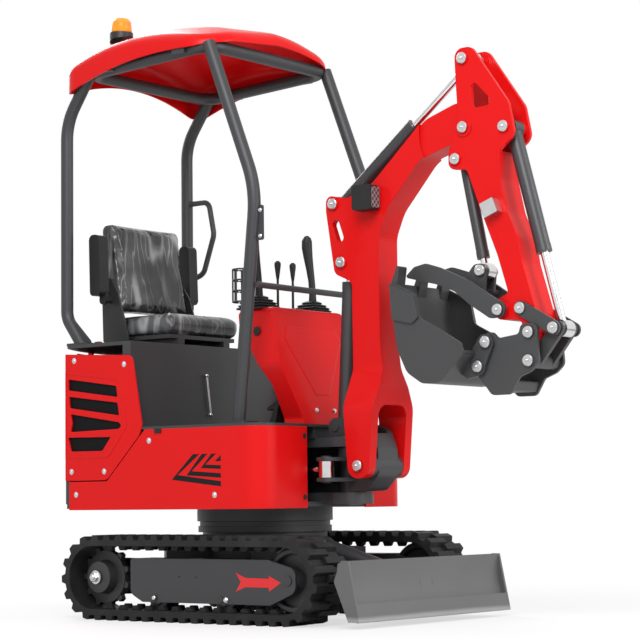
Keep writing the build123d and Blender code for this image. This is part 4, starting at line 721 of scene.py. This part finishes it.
short_lever = lathe([(0.020, 0.0), (0.020, 0.008), (0.005, 0.020), (0.0045, 0.120), (0.0075, 0.138),
                     (0.0125, 0.176), (0.0118, 0.186), (0.0060, 0.192)], 16)
short_spots = [(LEVER_X, y, CONSOLE_TOP) for y in (-SHORT_LEVER_Y, SHORT_LEVER_Y)]
levers = [repeated(short_lever, short_spots, (0.0, 0.0, 1.0))]
for y in (-LEVER_Y, LEVER_Y):
    grip = np.stack((grip_x + LEVER_X, np.full(GRIP_RINGS, y), grip_z + CONSOLE_TOP), axis=-1)
    levers.append(tube(grip, grip_r, 16))
    levers.append((boot_points + (LEVER_X, y, CONSOLE_TOP - BOOT_SUNK), boot_faces))
lever_set = add_piece("lever_set", joined(*levers), plastic_finish, "upper_body")
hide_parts("control_levers")
rail = tube([(0.262, -0.350, 1.212), (0.262, -0.349, 1.212), (0.262, 0.349, 1.208), (0.262, 0.350, 1.208)],
            0.0115, 16)
cross_bar = add_piece("cross_bar", rail, charcoal, "upper_body")
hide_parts("handrail")

CAGE = np.array((0.112, -0.252, 0.0))
CAGE_R, CAGE_WIRE, CAGE_STAVES, CAGE_SEGMENTS = 0.036, 0.0032, 8, 32
CAGE_HEIGHTS = (1.165, 1.205, 1.245, 1.285)
ring_turn = np.linspace(0, 2 * np.pi, CAGE_SEGMENTS + 1)
ring_path = np.stack((np.cos(ring_turn), np.sin(ring_turn), ring_turn * 0), axis=-1) * CAGE_R + CAGE
wires = [tube(ring_path + (0, 0, z), CAGE_WIRE, 8) for z in CAGE_HEIGHTS]
for stave in np.linspace(0, 2 * np.pi, CAGE_STAVES, endpoint=False):
    foot = CAGE + (CAGE_R * np.cos(stave), CAGE_R * np.sin(stave), 0)
    wires.append(tube([foot + (0, 0, z) for z in CAGE_HEIGHTS], CAGE_WIRE, 8))
wires.append(tube([(0.112, -0.219, 1.110), (0.112, -0.222, 1.120), (0.112, -0.224, 1.150),
                   (0.112, -0.217, 1.166)], 0.004, 8))
add_piece("cup_cage", joined(*wires), black_steel, "upper_body")
CONSOLE_SIDE_Y, DECK_FRONT_X, CLIP = 0.2195, 0.346, 0.005
plug = lathe([(0.0168, 0.0), (0.0170, 0.0015), (0.0150, 0.0032), (0.0060, 0.0040)], 24)
add_pairs("console_plugs", plug, [(0.152, 1.057)], CONSOLE_SIDE_Y, plastic_finish, "upper_body")
bolt_spots = [(0.2955, -0.053, 0.765), (0.2955, 0.053, 0.765)]
console_bolts = repeated(hex_bolt(0.0075), bolt_spots, (1.0, 0.0, 0.17))
add_piece("console_bolts", console_bolts, zinc, "upper_body")
small_plug = lathe([(0.0100, 0.0), (0.0102, 0.0012), (0.0086, 0.0026), (0.0030, 0.0030)], 20)
plug_spots = [(DECK_FRONT_X, y, z) for y in (-0.190, 0.190) for z in (0.447, 0.668)]
add_piece("front_plugs", repeated(small_plug, plug_spots, (1.0, 0.0, 0.0)), plastic_finish, "upper_body")
clip = [(-0.156, 0.686), (-0.126, 0.686), (-0.126, 0.702), (-0.156, 0.702)]
add_piece("cover_clips", side_plates(clip, COVER_Y, CLIP), plastic_finish, "upper_body")

STAY = np.array([(-0.276, 0.007, 0.769), (-0.276, -0.015, 0.920)])
STAY_R, BALL_R, STAY_NECK = 0.0045, 0.0076, 0.012
STUD_R, STUD_LONG, STUD_BACK = 0.0040, 0.0100, 0.0092
stay_length = np.linalg.norm(STAY[1] - STAY[0])
ball_turn = np.linspace(0.1, 2.5, 9)
ball = np.stack((np.sin(ball_turn), -np.cos(ball_turn)), axis=-1) * BALL_R
far_ball = ball[::-1] * (1, -1) + (0, stay_length)
rod = [(STAY_R, STAY_NECK), (STAY_R, stay_length - STAY_NECK)]
stay_rod = lathe(np.concatenate((ball, rod, far_ball)), 16)
stud = lathe([(STUD_R, 0.0), (STUD_R, STUD_LONG)], 12)
stay = joined(repeated(stay_rod, STAY[:1], STAY[1] - STAY[0]),
              repeated(stud, STAY - (STUD_BACK, 0, 0), (1.0, 0.0, 0.0)))
add_piece("seat_base_stay", stay, zinc, "upper_body")


# The canopy is a welded tube frame, powder coated charcoal, under a crowned red roof moulding.
# Bolted brackets sit on the posts and an amber warning lamp on a black base stands on the roof.
finish_nodes(charcoal, "rear_posts", "front_posts", "roof_ring", "grab_handle")
ROOF_REAR, ROOF_FRONT, ROOF_HALF, ROOF_TOP = -0.680, 0.085, 0.394, 2.272
FRONT_CORNER, REAR_CORNER = 0.150, 0.060
FALL_FRONT, FALL_REAR, FALL_SIDE = 0.059, 0.077, 0.085
LIP, LIP_REAR, LIP_FRONT, LIP_RUN = 0.020, 0.080, 0.024, 0.06
ROOF_SHELL, SHOULDER, RIM_POINTS = 0.007, 0.030, 200
roof_middle = (ROOF_REAR + ROOF_FRONT) / 2
roof_half_length = (ROOF_FRONT - ROOF_REAR) / 2
angle = np.linspace(0, 2 * np.pi, 97)
out_x, out_y = np.cos(angle), np.sin(angle)
corner = np.where(out_x > 0, FRONT_CORNER, REAR_CORNER)
rim_x = roof_middle + np.sign(out_x) * (roof_half_length - corner) + corner * out_x
rim_y = np.sign(out_y) * (ROOF_HALF - corner) + corner * out_y
walk = np.concatenate(([0.0], np.cumsum(np.hypot(np.diff(rim_x), np.diff(rim_y)))))
even = np.linspace(0, walk[-1], RIM_POINTS, endpoint=False)
rim_x, rim_y, out_x, out_y = (np.interp(even, walk, v) for v in (rim_x, rim_y, out_x, out_y))


def roof_crown(x, y):
    """Height of the dome: it falls from its top with the square of the way along, more at the rear,
    and with the square of the way across."""
    along = (x - roof_middle) / roof_half_length
    fall = np.where(along > 0, FALL_FRONT, FALL_REAR)
    return ROOF_TOP - fall * along ** 2 - FALL_SIDE * (y / ROOF_HALF) ** 2


def roof_skin(start, shell):
    """Rings of the dome: from the middle out to the shoulder, round its quarter circle, and down to the lip.
    The lip is shallow at the front corners, and deepens to the rear and towards the middle of the front."""
    back = np.clip((ROOF_FRONT - rim_x) / (ROOF_FRONT - ROOF_REAR), 0, 1)
    ahead = np.clip((rim_x - ROOF_FRONT) / LIP_RUN + 1, 0, 1)
    depth = (LIP + LIP_REAR * np.sin(back * np.pi / 2) ** 0.9
             + LIP_FRONT * ahead * (1 - (rim_y / ROOF_HALF) ** 2))
    lip = roof_crown(rim_x, rim_y) - depth
    roll = np.minimum(SHOULDER, 0.8 * depth) - shell * 0.5
    rings = []
    for share in np.linspace(0.02, 0.98, 12):
        x = roof_middle + (rim_x - (start + roll) * out_x - roof_middle) * share
        y = (rim_y - (start + roll) * out_y) * share
        rings.append(np.stack((x, y, roof_crown(x, y) - shell), axis=-1))
    for bend in np.linspace(0, np.pi / 2, 9):
        inset = start + roll * (1 - np.sin(bend))
        x, y = rim_x - inset * out_x, rim_y - inset * out_y
        sunk = shell + (roll - shell * 0.5) * (1 - np.cos(bend))
        rings.append(np.stack((x, y, roof_crown(x, y) - sunk), axis=-1))
    rings.append(np.stack((rim_x - start * out_x, rim_y - start * out_y, lip), axis=-1))
    return rings


roof_rings = np.array(roof_skin(0.0, 0.0) + roof_skin(ROOF_SHELL, ROOF_SHELL)[::-1])
roof_end = np.arange(RIM_POINTS)[None]
roof_faces = [ring_quads(len(roof_rings), RIM_POINTS)[:, [0, 3, 2, 1]], roof_end,
              (len(roof_rings) - 1) * RIM_POINTS + roof_end[:, ::-1]]
roof = add_piece("roof_moulding", (roof_rings.reshape(-1, 3), roof_faces), red_gloss, "upper_body")
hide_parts("canopy_roof")
beacon_foot = lathe([(0.0455, 0.0), (0.0455, 0.028), (0.0440, 0.030)], 32)
add_piece("beacon_foot", repeated(beacon_foot, [(-0.520, -0.230, 2.192)], (0.0, 0.0, 1.0)), plastic_finish,
          "upper_body")
BRACKET_Y, BRACKET = 0.346, 0.006
bracket_edge = rounded([(240, 1372, 3), (296, 1372, 8), (296, 1499, 8), (240, 1499, 3)])
add_piece("post_brackets", side_plates(bracket_edge, BRACKET_Y, BRACKET), charcoal, "upper_body")
add_pairs("bracket_bolts", hex_bolt(0.0065), [(0.283, 1.386), (0.283, 1.480)], BRACKET_Y + BRACKET, zinc,
          "upper_body")
LAMP_BASE_TOP = 2.2685
amber_finish, amber_shader, amber_place = new_finish("amber_lamp", {})
base_mask = amber_place.part("Z") < LAMP_BASE_TOP
ribs = amber_place.node("ShaderNodeTexWave", {"bands_direction": "Z"}, {"Vector": amber_place, "Scale": 75.0})
amber = ribs.blend((0.86, 0.24, 0.004, 1), (0.98, 0.40, 0.012, 1))
base_mask.blend(amber, (0.012, 0.012, 0.012, 1)).feed(amber_shader, "Base Color")
(base_mask * 0.3 + 0.14).feed(amber_shader, "Roughness")
(ribs * (1 - base_mask)).bump(0.0012, 0.5).feed(amber_shader, "Normal")
finish_nodes(amber_finish, "beacon")


# The boom and arm are welded box sections in gloss red; zinc pins join them and the rams.
# Each pin ends in a chamfered head with a grease nipple.
# The boom's lamp has a lens of clear cells, and a small zinc valve is screwed to the arm.
finish_nodes(red_gloss, "boom", "arm")
pin_head = joined(
    lathe([(0.0001, 0.0), (0.0205, 0.0), (0.0205, 0.0045), (0.0180, 0.0070), (0.0085, 0.0074)], 32),
    lathe([(0.0042, 0.0070), (0.0042, 0.0105), (0.0026, 0.0118), (0.0032, 0.0140), (0.0016, 0.0152)], 12))


def pins(name, places, y, body):
    """Pin heads on both sides of a piece at (x, z) places, standing on its faces at -y and +y."""
    add_pairs(name, pin_head, places, y, zinc, body)


LENS_PLACE, LENS_THICK = (0.605, -0.088, 1.524), 0.0015
VALVE_Y, VALVE_THICK = 0.0599, 0.036
lens_finish, lens_shader, lens_place = new_finish("lamp_lens", {})
cells = lens_place.node("ShaderNodeTexChecker", {}, {"Vector": lens_place, "Scale": 90.0}, "Fac")
cells.blend((0.05, 0.05, 0.055, 1), (0.26, 0.26, 0.27, 1)).feed(lens_shader, "Base Color")
(cells * 0.1 + 0.08).feed(lens_shader, "Roughness")
lens_edge = rounded([(-24, -38, 8), (24, -38, 8), (24, 38, 8), (-24, 38, 8)])
lens_plate = plate(lens_edge, LENS_PLACE, (0, 1, 0), (0, 0, 1), LENS_THICK)
add_piece("lamp_lens", lens_plate, lens_finish, "boom")
valve_edge = rounded([(1059, 1453, 4), (1078, 1402, 4), (1133, 1422, 4), (1113, 1472, 4)])
valve = plate(valve_edge, (0, -VALVE_Y, 0), (1, 0, 0), (0, 0, 1), VALVE_THICK)
add_piece("thumb_valve", valve, zinc, "arm")
pins("boom_foot_pin_heads", [(0.540, 0.556)], 0.131, "swing_bracket")
pins("boom_ram_pin_heads", [(0.425, 1.303), (0.390, 1.522)], 0.064, "boom")
pins("arm_pin_heads", [(0.976, 1.737)], 0.068, "arm")
pins("arm_ram_pin_heads", [(0.977, 1.984), (1.144, 1.721), (0.940, 1.628)], 0.066, "arm")
pins("rocker_pin_heads", [(1.203, 1.083), (1.333, 1.008)], 0.073, "rocker")
pins("hitch_pin_heads", [(1.246, 0.997), (1.244, 0.900)], 0.092, "bucket")
pins("bucket_pin_heads", [(1.081, 0.971), (1.047, 0.888)], 0.107, "bucket")
pins("thumb_pin_heads", [(1.020, 1.229)], 0.041, "thumb")
pins("thumb_pivot_heads", [(1.124, 1.081)], 0.093, "arm")


# The bucket, quick hitch, thumb and links are cut and welded steel plate, painted dark grey.
# Digging steel gets a coarser, duller coat than the body panels.
tool_grey = coat_finish("tool_grey", (0.040, 0.041, 0.043), 0.46, grain=340.0, grain_depth=0.0003,
                        drift=0.18, edge=0.0018)
finish_nodes(tool_grey, "bucket", "quick_hitch", "thumb", "rocker_links", "tipping_link")


# Each hydraulic ram is a drawn steel barrel in grey paint and a hard-chromed rod, ground and polished.
# Both end in welded eyes that turn on the machine's pins.
ram_grey = coat_finish("ram_grey", (0.036, 0.037, 0.040), 0.36, grain=600.0, grain_depth=0.0001)
chrome = metal_finish("hard_chrome", (0.78, 0.78, 0.79), 0.14, 1500.0)
for ram in ("blade", "swing", "boom", "arm", "bucket", "thumb"):
    finish_nodes(ram_grey, ram + "_cylinder_barrel")
    finish_nodes(chrome, ram + "_cylinder_rod")
